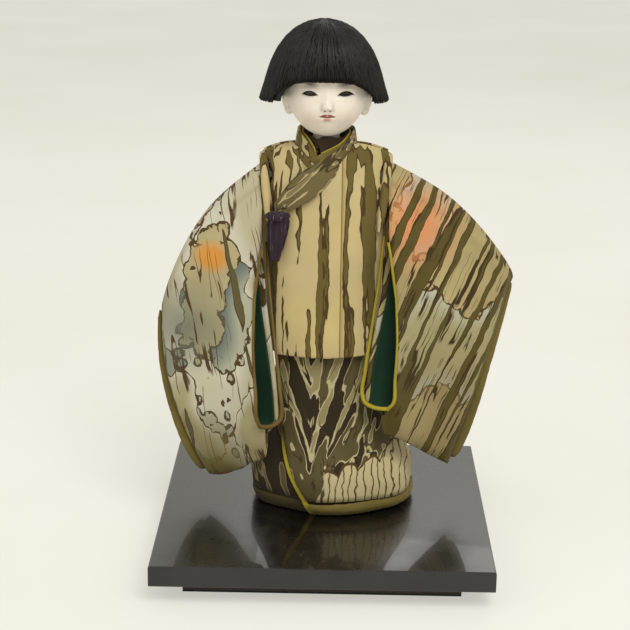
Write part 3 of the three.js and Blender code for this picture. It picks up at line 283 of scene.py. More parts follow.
# A hem border: pale scallops with thin upright lines under a dark outline
def scallopHem(tree, place, ground, hem):
    wobble = put(tree, "TexNoise", {"Vector": place, "Scale": 1 / hem["wobbleSize"], "Detail": 2.0})
    x, z = put(tree, "SeparateXYZ", (place,), out=("X", "Z"))
    x = put(tree, "Math MULTIPLY_ADD", (wobble, hem["wobble"], x))
    wave = put(tree, "Math MULTIPLY", (x, math.pi / hem["scallop"]))
    wave = put(tree, "Math ABSOLUTE", (put(tree, "Math SINE", (wave,)),))
    top = put(tree, "Math MULTIPLY_ADD", (wave, hem["rise"], hem["height"]))
    top = put(tree, "Math MULTIPLY_ADD", (x, hem["climb"], top))
    above = put(tree, "Math SUBTRACT", (z, top))
    lines = put(tree, "Math PINGPONG", (x, hem["lineSpacing"]))
    line = put(tree, "MapRange", (lines, hem["line"], hem["line"] + hem["soft"], 1, 0))
    pale = put(tree, "MixRGB", (line, hem["pale"], hem["edge"]))
    inside = put(tree, "MapRange", (above, -hem["rimSoft"], hem["rimSoft"], 1, 0))
    side = put(tree, "MapRange", (x, *hem["start"]))
    inside = put(tree, "Math MULTIPLY", (inside, side))
    colour = put(tree, "MixRGB", (inside, ground, pale))
    rim = put(tree, "MapRange", (put(tree, "Math ABSOLUTE", (above,)), *hem["rim"], 1, 0))
    rim = put(tree, "Math MULTIPLY", (rim, side))
    return put(tree, "MixRGB", (rim, colour, hem["edge"]))


# A soft blush of colour round a place, with radii in millimetres
def blush(tree, place, ground, centre, radii, colour, strength=1.0, turn=0):
    near = put(tree, "Mapping", {
        "Vector": place, "Location": centre, "Scale": radii, "Rotation": (0, math.radians(turn), 0),
    }, vector_type="TEXTURE")
    ball = put(tree, "TexGradient", (near,), gradient_type="SPHERICAL", out="Fac")
    share = put(tree, "Math MULTIPLY", (ball, strength), use_clamp=True)
    return put(tree, "MixRGB", (share, ground, colour))


seamShade = {"half": 4.0, "stops": [  # painted highlight on its fold and painted shade in the groove beside it
    (0.0, "#ffffff"), (0.46, "#ffffff"), (0.5, "#fff6dc"), (0.53, "#6f6140"), (0.6, "#ddd3b8"), (1.0, "#ffffff")]}


def paintedSilk(name, look):
    first, second = look["ground"]
    material, tree, shader, place, drift, colour = startMottled(
        name, first, [(0.35, first), (0.65, second)], (crepe["drift"],) * 2, 2.0, Roughness=crepe["roughness"],
        Sheen_Weight=crepe["sheen"], Specular_IOR_Level=crepe["gloss"], Sheen_Tint=hexColour(crepe["sheenTint"]))
    for cloud in look.get("clouds", []):
        colour = cloudShapes(tree, place, colour, cloud)
    for centre, radii, tint, strength in look.get("blushes", []):
        colour = blush(tree, place, colour, centre, radii, tint, strength)
    for streaks in look.get("streaks", []):
        colour = barkStreaks(tree, place, colour, streaks)
    if "seam" in look:  # a sewn edge down the front, drawn as painted highlight and painted shade
        x, half = put(tree, "SeparateXYZ", (place,), out="X"), seamShade["half"]
        across = put(tree, "MapRange", (x, look["seam"] - half, look["seam"] + half))
        shade = put(tree, "ValToRGB", (across,), stops=seamShade["stops"])
        colour = put(tree, "MixRGB", (1.0, colour, shade), blend_type="MULTIPLY")
    if "hem" in look:
        colour = scallopHem(tree, place, colour, look["hem"])
    if "band" in look:  # a plain band along an edge, by the distance kept on the mesh
        reach, tint = look["band"]
        far = put(tree, "Attribute", attribute_name="edgeDistance", out="Fac")
        share = put(tree, "MapRange", (far, reach - crepe["bandSoft"], reach + crepe["bandSoft"], 1, 0))
        colour = put(tree, "MixRGB", (share, colour, tint))
    finishCrepe(tree, shader, place, colour)
    return material


def plainSilk(name, dark, light):
    return paintedSilk(name, {"ground": (dark, light)})


barkBrown = "#47361a"
barkPaint = {"fill": "#645729", "edge": barkBrown}
inkBrown = "#4d3a20"
vestSilk = paintedSilk("paintedVestSilk", {
    "ground": ("#c2ae76", "#b7a77c"),
    "streaks": [
        {"width": 6.5, "length": 260, "level": 0.5, "line": 0.014, **barkPaint, "plain": (-10, 22)},
        {"width": 5, "length": 320, "level": 0.56, "line": 0.016, **barkPaint, "plain": (21, 20),
         "shift": (3.4, 7.1, 1.3)},
    ],
    "seam": 10.5,
})
vestBackSilk = paintedSilk("paintedVestBackSilk", {
    "ground": ("#b5a57a", "#bfaa72"),
    "streaks": [{"width": 6.5, "length": 260, "level": 0.54, "line": 0.014, **barkPaint}],
})
lapelSilk = paintedSilk("paintedLapelSilk", {
    "ground": ("#5c5031", "#665a37"),
    "streaks": [
        {"width": 3.6, "length": 34, "level": 0.57, "line": 0.03, "fill": "#7a6e48", "edge": "#aa9c70",
         "slant": -48, "wobble": 4},
        {"width": 5, "length": 40, "level": 0.6, "line": 0.03, "edge": "#40341d", "slant": -48, "wobble": 4,
         "shift": (1.7, 0, 4.1)},
    ],
})
collarSilk = paintedSilk("paintedCollarSilk", {
    "ground": ("#b7a877", "#ab9c6b"),
    "streaks": [{"width": 5, "length": 60, "level": 0.54, "line": 0.016, **barkPaint, "slant": 35,
                 "wobble": 4}],
})
# its dark brown ground is partly the cloth's own brown and partly painted shade on the under-lap
skirtSilk = paintedSilk("paintedSkirtSilk", {
    "ground": ("#33291a", "#2b2115"),
    "streaks": [{"width": 7, "length": 60, "level": 0.6, "line": 0.02, "fill": "#5f5336", "edge": "#8d8158",
                 "slant": 14}],
})
overlapSilk = paintedSilk("paintedOverlapSilk", {
    "ground": ("#4f4529", "#5b5132"),
    "streaks": [
        {"width": 9, "length": 60, "level": 0.53, "line": 0.008, "fill": "#2f2515", "edge": "#b0a479",
         "foldAt": -8, "slant": -22, "shift": (9.1, 0, 5.3)},
        {"width": 8, "length": 90, "level": 0.6, "line": 0.016, "fill": "#8f845b", "edge": "#b5a97f",
         "foldAt": -8, "slant": -22, "shift": (2.2, 0, 0.7)},
        {"width": 6, "length": 70, "level": 0.55, "line": 0.014, "edge": "#3d301a", "foldAt": -8, "slant": -22,
         "shift": (5.2, 0, 3.7), "broken": 14},
    ],
    "hem": {"scallop": 15, "rise": 6, "height": 24, "climb": 0.28, "lineSpacing": 2.4, "line": 0.25, "soft": 0.4,
            "wobble": 9, "wobbleSize": 12, "start": (5, 6), "rim": (0.7, 1.1), "rimSoft": 0.3, "pale": "#b9ac80",
            "edge": "#4d3a1f"},
})
paleSleeveSilk = paintedSilk("paintedPaleSleeveSilk", {
    "ground": ("#b6aa81", "#a89c74"),
    "clouds": [
        {"size": 58, "squat": 0.7, "shift": (13, 0, 25), "scallop": 12, "level": 0.47, "rim": "#69736a",
         "middle": "#a9a890", "edge": inkBrown},
        {"size": 50, "squat": 0.6, "shift": (71, 9, -14), "scallop": 10, "level": 0.5, "rim": "#c6c1ab",
         "middle": "#b3aa8a", "edge": inkBrown},
        {"size": 36, "squat": 0.8, "shift": (-31, 5, 47), "scallop": 9, "level": 0.6, "rim": "#c3bda4",
         "middle": "#a59b74", "edge": inkBrown},
    ],
    # the third blush, a broad olive wash over the sleeve's foot, is partly the pattern and partly painted shade
    "blushes": [((-75, -12, 172), (15, 40, 12), "#c98a3a", 1.8), ((-92, -12, 124), (40, 90, 36), "#6d7163", 0.9),
                ((-70, -30, 22), (60, 90, 50), "#6d6336", 1.2), ((-62, -30, 16), (15, 60, 9), "#8a4d2c", 1.6)],
    "streaks": [
        {"width": 6, "length": 120, "level": 0.5, "line": 0.012, "edge": inkBrown, "slant": 10, "wobble": 4,
         "broken": 24, "through": 0.06},
        {"width": 8, "length": 60, "level": 0.67, "line": 0.012, "fill": "#5a5230", "edge": inkBrown, "slant": 14,
         "wobble": 4, "shift": (7.7, 0, 2.9), "through": 0.06},
    ],
    "band": (5.0, "#5f5429"),
})
barkSleeveSilk = paintedSilk("paintedBarkSleeveSilk", {
    "ground": ("#ae9f70", "#9c8d60"),
    "clouds": [{"size": 60, "squat": 0.8, "shift": (5, 0, 61), "scallop": 11, "level": 0.53, "rim": "#aeac96",
                "middle": "#a39a71", "edge": barkBrown}],
    # the first blush, a broad darker wash over the lower sleeve, is partly the pattern and partly painted shade
    "blushes": [((78, -10, 60), (80, 90, 86), "#84744a", 0.8), ((60, -6, 194), (36, 60, 36), "#cb8758", 1.3)],
    "streaks": [
        {"width": 5.2, "length": 200, "level": 0.54, "line": 0.016, "fill": "#554a20", "edge": "#3d2e14",
         "slant": -26, "through": 0.06},
        {"width": 4.5, "length": 160, "level": 0.5, "line": 0.012, "edge": "#3d2e14", "slant": -24, "wobble": 4,
         "broken": 17, "shift": (2.7, 0, 1.9), "through": 0.06},
    ],
    "band": (7.0, "#5f5429"),
})
oliveSilk = plainSilk("oliveSilk", "#62562a", "#70632f")
brownSilk = plainSilk("brownSilk", "#38291a", "#2f2116")
greenSilk = plainSilk("greenSilk", "#123420", "#0e2c1b")
yellowSilk = plainSilk("yellowSilk", "#a8982c", "#978828")
# a darker copy of the olive silk for the body's hem roll: painted shade
shadedOliveSilk = plainSilk("shadedOliveSilk", "#3c331b", "#463b1f")
purpleCrepe = paintedSilk("purpleCrepe", {
    "ground": ("#33242f", "#271b26"),
    # the pale streak lines are painted highlights on the pleats
    "streaks": [{"width": 2.2, "length": 30, "level": 0.6, "line": 0.012, "edge": "#5d4f58", "wobble": 2}],
})
fadedYellowSilk = paintedSilk("fadedYellowSilk", {
    "ground": ("#5a4a22", "#4b3a22"), "blushes": [((-14, -40, 12), (60, 80, 44), "#a8982c", 4.0)],
})
agedPipingSilk = plainSilk("agedPipingSilk", "#5d4526", "#77642d")
print("cloth materials made")


# Cloth pieces from the solids; angles in degrees
fromSolid = {"weld": 0.02, "rimAngle": 50, "faceAngle": 60, "shapeAngle": 120}


def wakeOnly(piece):
    bpy.ops.object.select_all(action="DESELECT")
    piece.select_set(True)
    bpy.context.view_layer.objects.active = piece


def applyModifier(piece, kind, **settings):
    wakeOnly(piece)
    modifier = piece.modifiers.new(kind.title(), kind)
    for key, value in settings.items():
        setattr(modifier, key, value)
    bpy.ops.object.modifier_apply(modifier=modifier.name)


def addObject(name, data):
    piece = bpy.data.objects.new(name, data)
    scene.collection.objects.link(piece)
    wakeOnly(piece)
    return piece


def remesh(piece, voxel, rounds):
    applyModifier(piece, "REMESH", mode="VOXEL", voxel_size=voxel * mm)
    applyModifier(piece, "SMOOTH", factor=0.5, iterations=rounds)


def subdivide(piece, levels=1):
    applyModifier(piece, "SUBSURF", levels=levels, render_levels=levels)


def joinTo(piece, others):
    wakeOnly(piece)
    for other in others:
        other.select_set(True)
    bpy.ops.object.join()


def faceOutwards(piece):
    wakeOnly(piece)
    bpy.ops.object.mode_set(mode="EDIT")
    bpy.ops.mesh.select_all(action="SELECT")
    bpy.ops.mesh.normals_make_consistent(inside=False)
    bpy.ops.object.mode_set(mode="OBJECT")


def copyNode(nodeName, name, crease=0.9):
    piece = addObject(name, frame["nodes"][nodeName].data.copy())
    piece.data.materials.clear()
    angles = ("faceAngle", "shapeAngle", "rimAngle")
    faceAngle, shapeAngle, rimAngle = (math.radians(fromSolid[key]) for key in angles)
    bpy.ops.object.mode_set(mode="EDIT")
    bpy.ops.mesh.select_mode(type="EDGE")
    bpy.ops.mesh.select_all(action="SELECT")
    bpy.ops.mesh.customdata_custom_splitnormals_clear()
    bpy.ops.mesh.remove_doubles(threshold=fromSolid["weld"] * mm)
    bpy.ops.mesh.tris_convert_to_quads(face_threshold=faceAngle, shape_threshold=shapeAngle)
    bpy.ops.mesh.select_all(action="DESELECT")
    bpy.ops.mesh.edges_select_sharp(sharpness=rimAngle)
    bpy.ops.transform.edge_crease(value=crease)
    bpy.ops.object.mode_set(mode="OBJECT")
    return piece


def readVectors(items, key):
    values = np.zeros(len(items) * 3, np.float32)
    items.foreach_get(key, values)
    return values.reshape(-1, 3).astype(float)


def readPlaces(piece):
    return readVectors(piece.data.vertices, "co")


def readNormals(piece):
    return readVectors(piece.data.vertex_normals, "vector")


def writePlaces(piece, places):
    piece.data.vertices.foreach_set("co", places.astype(np.float32).ravel())
    piece.data.update()


def doll(piece):  # a piece's points in millimetres from the doll's foot
    return (readPlaces(piece) - np.array(atDoll(0, 0, 0))) / mm


def setDoll(piece, places):
    writePlaces(piece, places * mm + np.array(atDoll(0, 0, 0)))


def downShare(places):  # 0 at the top of a piece and 1 at its foot
    return (places[:, 2].max() - places[:, 2]) / np.ptp(places[:, 2])


def keepDistance(piece, nodeName):  # how far each point is from another piece, in millimetres
    points = [v.co for v in frame["nodes"][nodeName].data.vertices]
    tree = kdtree.KDTree(len(points))
    for i, point in enumerate(points):
        tree.insert(point, i)
    tree.balance()
    far = [tree.find(v.co)[2] / mm for v in piece.data.vertices]
    piece.data.attributes.new("edgeDistance", "FLOAT", "POINT").data.foreach_set("value", far)


def dress(piece, material, body, slot, *nodes):  # a piece with no nodes is added to what the solids show
    wakeOnly(piece)
    bpy.ops.object.shade_smooth()
    piece.data.materials.append(material)
    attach(piece, body)
    if nodes:
        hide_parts(*nodes)
    return piece


# Subdivides a piece so that the smooth surface runs through the solid's own corners
def smoothThrough(piece, levels, rounds=4, gain=0.9):
    target = readPlaces(piece)
    control = target.copy()
    for i in range(rounds):
        trial = addObject("trial", piece.data.copy())
        writePlaces(trial, control)
        subdivide(trial)
        control += gain * (target - readPlaces(trial)[:len(target)])
        bpy.data.objects.remove(trial)
    writePlaces(piece, control)
    subdivide(piece, levels)


def clothPiece(nodeName, material, body, slot, levels=2, voxel=None, smooth=0):
    piece = copyNode(nodeName, nodeName + "_cloth", 1.0)
    smoothThrough(piece, levels)
    if voxel:
        remesh(piece, voxel, smooth)
    return dress(piece, material, body, slot, nodeName)


# Slow folds that all the layers on one body share, so that none cuts through its neighbour
sleeveFolds = {"depth": 1.5, "wide": 19, "long": 75, "from": 222, "full": 185, "slice": 7.3}
folds = {
    "doll": {"depth": 0.7, "wide": 20, "long": 80, "from": 236, "full": 215, "radius": 36, "slice": 7.3},
    "right_arm": sleeveFolds, "left_arm": sleeveFolds,
}


def fold(piece, body):
    form = folds[body]
    places = doll(piece)
    fade = np.interp(places[:, 2], [form["full"], form["from"]], [1, 0])
    if "radius" in form:  # round the body, in and out
        across = form["radius"] * np.arctan2(places[:, 0], -places[:, 1])
        outward = places * (1, 1, 0) / np.maximum(np.linalg.norm(places[:, :2], axis=1), 1)[:, None]
    else:  # through the sleeve, forwards and back
        across = places[:, 0]
        outward = np.array((0.0, -1.0, 0.0))
    waves = np.array([noise.noise(Vector((a / form["wide"], h / form["long"], form["slice"])))
                      for a, h in zip(across, places[:, 2])])
    setDoll(piece, places + outward * (waves * fade * form["depth"])[:, None])


# Padded pieces swell under pressure in a cloth simulation, from a slightly smaller start
stuffing = {"frames": 20, "mass": 0.001, "pressure": 12.0, "slack": -0.04, "inset": 0.5, "smooth": 3}


def swell(piece, voxel, cap):
    remesh(piece, voxel, stuffing["smooth"])
    start = readPlaces(piece) - readNormals(piece) * stuffing["inset"] * cap * mm
    writePlaces(piece, start)
    cloth = piece.modifiers.new("Stuffing", "CLOTH")
    cloth.settings.mass = stuffing["mass"]
    cloth.settings.use_pressure = True
    cloth.settings.uniform_pressure_force = stuffing["pressure"]
    cloth.settings.shrink_min = stuffing["slack"]
    cloth.settings.effector_weights.gravity = 0
    cloth.point_cache.frame_end = stuffing["frames"]
    for frameNumber in range(1, stuffing["frames"] + 1):
        scene.frame_set(frameNumber)
    blown = piece.evaluated_get(bpy.context.evaluated_depsgraph_get())
    step = readPlaces(blown) - start
    piece.modifiers.remove(cloth)
    scene.frame_set(1)
    far = np.maximum(np.linalg.norm(step, axis=1), 1e-9)[:, None]
    writePlaces(piece, start + step * np.minimum(1, cap * mm / far))
    subdivide(piece)


# Cuff rolls swell towards the toe of the sleeve, thin out at their ends and lie on the sleeve's edge
cuffForm = {"inward": 2.4, "stations": 25, "near": 0.06,
            "size": [(0, 0.45), (0.06, 0.75), (0.5, 1.25), (0.85, 1.6), (0.95, 1.4), (1, 0.5)]}


def shapeCuff(piece, sleeve):
    places = doll(piece)
    share = downShare(places)
    stations = np.linspace(0, 1, cuffForm["stations"])
    middles = np.array([places[abs(share - s) < cuffForm["near"]].mean(axis=0) for s in stations])
    middle = np.stack([np.interp(share, stations, middles[:, k]) for k in range(3)], axis=1)
    size = np.interp(share, *zip(*cuffForm["size"]))
    inward = doll(sleeve).mean(axis=0) - middle
    inward[:, 1] = 0
    inward /= np.linalg.norm(inward, axis=1)[:, None]
    setDoll(piece, middle + (places - middle) * size[:, None] + inward * cuffForm["inward"])


# The sleeves' mouths stand open, with their front edges pushed outwards; the linings end above the pipings' feet,
# and the pipings are fuller towards them
mouthForm = {
    "clear": 1.5, "squeeze": 0.05, "piping": [(0, 1.0), (0.6, 1.3), (1, 1.9)], "pipingSwell": 0.6, "rise": 16,
    "riseFrom": 120, "open": [(60, 0), (85, 2.0), (120, 5.0), (150, 5.0), (178, 2.5), (196, 0)], "soft": 3.0,
    "reach": 13, "step": 8, "near": 9, "seam": 2.5, "seamReach": 17, "seamPull": 0.9, "seamFade": 4, "seamDepth": 12,
}


def openMouth(piece, pipingNode):
    form = mouthForm
    edge = doll(frame["nodes"][pipingNode])
    places = doll(piece)
    x, y, z = places.T
    side = np.sign(x.mean())
    heights = np.arange(edge[:, 2].min(), edge[:, 2].max(), form["step"])
    near = [edge[abs(edge[:, 2] - h) < form["near"]] for h in heights]
    inner = np.interp(z, heights, [abs(n[:, 0]).mean() for n in near])
    middle = np.interp(z, heights, [n[:, 1].mean() for n in near])
    front = np.clip(np.tanh((middle - y) / form["soft"]), 0, 1)
    close = np.exp(-np.clip((abs(x) - inner) / form["reach"], 0, None) ** 2)
    x += side * np.interp(z, *zip(*form["open"])) * front * close
    if not piece.name.endswith("piping_cloth"):  # below the piping the two layers are sewn together
        below = np.clip((heights[0] + form["seam"] - z) / form["seamFade"], 0, 1)
        close = np.exp(-np.clip((abs(x) - inner) / form["seamReach"], 0, None) ** 2)
        pull = form["seamPull"] * below * close
        x += (side * (inner + form["seam"]) - x) * pull * (abs(x) < inner + form["seamDepth"])
        y += (middle - y) * pull
    setDoll(piece, places)


def shapeLining(piece, pipingNode):
    foot = doll(frame["nodes"][pipingNode])[:, 2].min() + mouthForm["clear"]
    places = doll(piece)
    z = places[:, 2]
    places[:, 2] = np.where(z < foot, foot + (z - foot) * mouthForm["squeeze"], z)
    setDoll(piece, places)


def shapePiping(piece):
    places = doll(piece)
    z, begin = places[:, 2], mouthForm["riseFrom"]
    z += mouthForm["rise"] * np.clip((z - begin) / (z.max() - begin), 0, 1)
    size = np.interp(downShare(places), *zip(*mouthForm["piping"])) - 1
    setDoll(piece, places + readNormals(piece) * size[:, None] * mouthForm["pipingSwell"])


# The vest's back has soft flaps behind the armholes, widest half way up
armholeFlap = {"inner": 35, "edge": 38.5, "reach": 7.5, "depth": 12.0, "curl": 3.0, "foot": 128, "top": 231,
               "thickness": 1.8, "columns": 16, "rows": 60, "bulge": 0.8}


def addFlaps(vestBack, material):
    form = armholeFlap
    flaps = []
    for side in (-1, 1):
        bpy.ops.mesh.primitive_grid_add(x_subdivisions=form["columns"], y_subdivisions=form["rows"], size=1)
        flap = bpy.context.object
        across, up = (readPlaces(flap)[:, k] + 0.5 for k in (0, 1))
        outer = form["edge"] + form["reach"] * np.sin(math.pi * up) ** form["bulge"]
        reach = form["inner"] + (outer - form["inner"]) * across
        height = form["foot"] + (form["top"] - form["foot"]) * up
        setDoll(flap, np.stack([side * reach, form["depth"] + form["curl"] * across ** 2, height], axis=1))
        applyModifier(flap, "SOLIDIFY", thickness=form["thickness"] * mm, offset=0)
        subdivide(flap)
        faceOutwards(flap)
        bpy.ops.object.shade_smooth()
        flap.data.materials.append(material)
        flaps.append(flap)
    joinTo(vestBack, flaps)


def evenOut(path, rounds):  # a smoother path between the same ends
    for i in range(rounds):
        path[1:-1] = (path[:-2] + 2 * path[1:-1] + path[2:]) / 4
    return path


# A round sewn edge along a path, thinner at its ends
def sewEdge(name, path, radius, material, slot, ends=1.0, widening=5):
    curve = bpy.data.curves.new(name, "CURVE")
    curve.dimensions = "3D"
    curve.bevel_depth = radius * mm
    curve.bevel_resolution = 3
    curve.use_fill_caps = True
    spline = curve.splines.new("POLY")
    spline.points.add(len(path) - 1)
    for i, (point, place) in enumerate(zip(spline.points, path)):
        share = min(i, len(path) - 1 - i) / (len(path) - 1)
        point.co = (*atDoll(*place), 1)
        point.radius = min(1, ends + widening * share)
    addObject(name, curve)
    bpy.ops.object.convert(target="MESH")
    return dress(bpy.context.object, material, "doll", slot)


# The armholes have padded rims over the shoulders; x outwards, y back, height
armholeRim = {"radius": 3.0, "steps": 48, "smooth": 8, "ends": 0.4, "path": [
    (35.5, -19.5, 192), (37.5, -16.5, 206), (39.2, -13.5, 219), (40.4, -10, 230), (41.2, -4.5, 238), (41.4, 1, 239.6),
    (41.4, 6, 237.5), (41, 10, 231), (40.5, 13, 220), (39.5, 14, 206)]}


def stepAlong(line, count, begin=0.0):  # even steps along a line, from a share of its length on
    run = np.concatenate([[0], np.cumsum(np.linalg.norm(np.diff(line, axis=0), axis=1))])
    at = np.linspace(run[-1] * begin, run[-1], count)
    return np.stack([np.interp(at, run, line[:, k]) for k in range(3)], axis=1)


def addRim(name, side, material):
    path = stepAlong(np.array(armholeRim["path"], float) * (side, 1, 1), armholeRim["steps"])
    path = evenOut(path, armholeRim["smooth"])
    return sewEdge(name, path, armholeRim["radius"], material, "bark_cloth", armholeRim["ends"])


# The seams of the shoulders, from the collar to the armholes
shoulderSeam = {"radius": 1.1, "from": 17, "to": 41, "steps": 14, "sunk": 0.4, "near": (1.5, 4), "back": 0.2,
                "smooth": 6}


def addSeam(name, side, vestBack, material):
    form = shoulderSeam
    places = doll(vestBack)
    path = []
    for x in np.linspace(form["from"], form["to"], form["steps"]):
        near = places[(abs(places[:, 0] * side - x) < form["near"][0]) & (abs(places[:, 1]) < form["near"][1])]
        if len(near):
            path.append((side * x, form["back"], near[:, 2].max() - form["sunk"]))
    return sewEdge(name, evenOut(np.array(path), form["smooth"]), form["radius"], material, "bark_cloth")


# Ribbon tie: two drawn-up loops that narrow downwards under a flat knot, gathered in small pleats
tieForm = {
    "taper": [(0, 0.95), (0.15, 1.2), (0.5, 1.05), (0.85, 0.8), (1, 0.62)], "lean": -2.5,
    "pleat": 3.4, "pleatDepth": 0.7, "pleatSway": (0.25, 4), "pleatFade": 0.6,
    "knotSize": (1.35, 1.1, 0.72), "knotDrop": 3.0,
}


def shapeTie(piece, isKnot):
    places = doll(piece)
    middle = (places.min(axis=0) + places.max(axis=0)) / 2
    share = downShare(places)
    across = places[:, 0] - middle[0]
    if isKnot:
        places = middle + (places - middle) * tieForm["knotSize"]
        places[:, 2] -= tieForm["knotDrop"]
    else:
        taper = np.interp(share, *zip(*tieForm["taper"]))
        places[:, 0] = middle[0] + across * taper + tieForm["lean"] * share
    sway, turns = tieForm["pleatSway"]
    pleats = np.sin(2 * math.pi * (across / tieForm["pleat"] + sway * np.sin(share * turns)))
    places[:, 1] -= pleats * tieForm["pleatDepth"] * (1 - tieForm["pleatFade"] * share)
    setDoll(piece, places)


# A thin piping along the upper edge of a collar, found round the neck from the back to the front
collarPiping = {"radius": 0.55, "stations": 44, "lift": 0.1, "near": 0.07, "smooth": 3,
                "left": (2.9, -0.22), "right": (-2.9, 0.1)}


def addPiping(collar, side):
    places = doll(collar)
    angle = np.arctan2(places[:, 0], -places[:, 1])
    path = []
    for station in np.linspace(*collarPiping[side], collarPiping["stations"]):
        near = places[abs(angle - station) < collarPiping["near"]]
        if len(near):
            path.append(near[near[:, 2].argmax()])
    path = evenOut(np.array(path), collarPiping["smooth"])
    path[:, 2] += collarPiping["lift"]
    return sewEdge(collar.name + "_piping", path, collarPiping["radius"], yellowSilk, "yellow_cloth")


# The under-collar is a pair of crossed bands inside the kimono's collars, higher and nearer the neck
underCollar = {"closer": 0.84, "rise": 3.0, "frontRise": 6.5, "frontX": -4, "frontWidth": 8, "jawRise": 2.5}

garments = {
    "kimono_body": (skirtSilk, "bark_cloth"),
    "kimono_overlap": (overlapSilk, "cream_cloth"),
    "hem_roll_body": (shadedOliveSilk, "olive_cloth"),
    "hem_roll_overlap": (oliveSilk, "olive_cloth"),
    "overlap_edging": (fadedYellowSilk, "yellow_cloth"),
    "waist_cord": (oliveSilk, "olive_cloth"),
    "vest_collar_left": (lapelSilk, "bark_cloth"),
    "vest_collar_right": (collarSilk, "cream_cloth"),
    "kimono_collar_left": (oliveSilk, "olive_cloth"),
    "kimono_collar_right": (oliveSilk, "olive_cloth"),
    "vest_back": (vestBackSilk, "bark_cloth"),
    "vest_right_front": (vestSilk, "cream_cloth"),
    "vest_left_front": (vestSilk, "cream_cloth"),
    "tie_knot": (purpleCrepe, "purple_cloth"),
    "tie_loop_rear": (purpleCrepe, "purple_cloth"),
    "tie_loop_front": (purpleCrepe, "purple_cloth"),
    "right_sleeve": (paleSleeveSilk, "cream_cloth"),
    "left_sleeve": (barkSleeveSilk, "bark_cloth"),
    "right_sleeve_lining": (greenSilk, "green_cloth"),
    "left_sleeve_lining": (greenSilk, "green_cloth"),
    "right_sleeve_piping": (agedPipingSilk, "yellow_cloth"),
    "left_sleeve_piping": (yellowSilk, "yellow_cloth"),
    "right_cuff_roll": (oliveSilk, "olive_cloth"),
    "left_cuff_roll": (oliveSilk, "olive_cloth"),
}
smoothBand = {"levels": 1, "voxel": 0.5, "smooth": 8}
smoothVest = {"voxel": 0.8, "smooth": 7}
finishing = {
    "vest_back": smoothVest, "vest_right_front": smoothVest, "vest_left_front": smoothVest,
    "vest_collar_left": smoothBand, "vest_collar_right": smoothBand,
    "kimono_collar_left": smoothBand, "kimono_collar_right": smoothBand,
    "tie_knot": smoothBand, "tie_loop_rear": smoothBand, "tie_loop_front": smoothBand,
}
# Padded pieces: the mesh's size and the most that they swell, in millimetres
padded = {"hem_roll_body": (1.6, 1.6), "hem_roll_overlap": (1.6, 1.6), "right_cuff_roll": (1.2, 1.0),
          "left_cuff_roll": (1.2, 1.0)}
sides = {"right": -1, "left": 1}
sleeveRoot = {"from": 38.2, "above": 205}  # clear of the kimono's shoulders when the arms swing


def makeUnderCollar(side):
    form = underCollar
    piece = copyNode("kimono_collar_" + side, f"inner_collar_{side}_band", 1.0)
    places = doll(piece) * (form["closer"], form["closer"], 1)
    near = np.exp(-((places[:, 0] - form["frontX"]) / form["frontWidth"]) ** 2)
    places[:, 2] += form["rise"] + form["frontRise"] * near * (places[:, 1] < 0)
    setDoll(piece, places)
    smoothThrough(piece, smoothBand["levels"])
    remesh(piece, smoothBand["voxel"], smoothBand["smooth"])
    return dress(piece, brownSilk, "doll", "brown_cloth", "inner_collar")


def trimRoot(sleeve):
    places = doll(sleeve)
    high = places[:, 2] > sleeveRoot["above"]
    places[high, 0] = np.copysign(np.maximum(abs(places[high, 0]), sleeveRoot["from"]), places[high, 0])
    setDoll(sleeve, places)


made = {}
for nodeName, (material, slot) in garments.items():
    side = nodeName.split("_")[0]
    body = side + "_arm" if side in sides else "doll"
    piece = made[nodeName] = clothPiece(nodeName, material, body, slot, **finishing.get(nodeName, {}))
    if side == "tie":
        shapeTie(piece, nodeName == "tie_knot")
    if nodeName == "vest_back":
        addFlaps(piece, material)
    if nodeName.endswith("lining"):
        shapeLining(piece, side + "_sleeve_piping")
    if nodeName.endswith("piping"):
        shapePiping(piece)
    if "sleeve" in nodeName:
        openMouth(piece, side + "_sleeve_piping")
    if nodeName.endswith("cuff_roll"):
        shapeCuff(piece, made[side + "_sleeve"])
    if nodeName in padded:
        swell(piece, *padded[nodeName])
    fold(piece, body)
    if nodeName.endswith("sleeve"):
        trimRoot(piece)
        keepDistance(piece, side + "_cuff_roll")
for side in ("left", "right"):
    made["inner_collar_" + side] = makeUnderCollar(side)
for side, sign in sides.items():
    name = side + "_armhole_rim"
    made[name] = addRim(name, sign, vestBackSilk)
for side, sign in sides.items():
    name = side + "_shoulder_seam"
    made[name] = addSeam(name, sign, made["vest_back"], vestBackSilk)
for side in ("left", "right"):
    collar = "kimono_collar_" + side
    made[collar + "_piping"] = addPiping(made[collar], side)
print("garments made")


# Cotton wadding inside the clothes, and the feet's white cotton socks: dull, slightly lumpy white
def loosePadding():
    material, tree, shader, place, fuzz, tone = startMottled(
        "cottonWadding", "#ebe6da", [(0.3, "#d9d2c2"), (0.7, "#ebe6da")], (3.0, 3.0), 4.0, Roughness=0.95,
        Specular_IOR_Level=0.15)
    bump = put(tree, "Bump", {"Strength": 0.5, "Distance": 0.3 * mm, "Height": fuzz})
    tree.links.new(bump, shader.inputs["Normal"])
    return material


cottonWadding = loosePadding()
hiddenPads = {  # body, the mesh's size and the most that the piece swells, in millimetres
    "torso_padding": ("doll", 3.0, 0.6), "skirt_wadding": ("doll", 4.0, 0.6),
    "right_foot": ("doll", 1.5, 0.4), "left_foot": ("doll", 1.5, 0.4),
    "right_arm_padding": ("right_arm", 1.6, 0.4), "left_arm_padding": ("left_arm", 1.6, 0.4),
}
for nodeName, (body, voxel, cap) in hiddenPads.items():
    piece = copyNode(nodeName, nodeName + "_stuffing")
    swell(piece, voxel, cap)
    made[nodeName] = dress(piece, cottonWadding, body, "cotton", nodeName)
print("stuffing made")


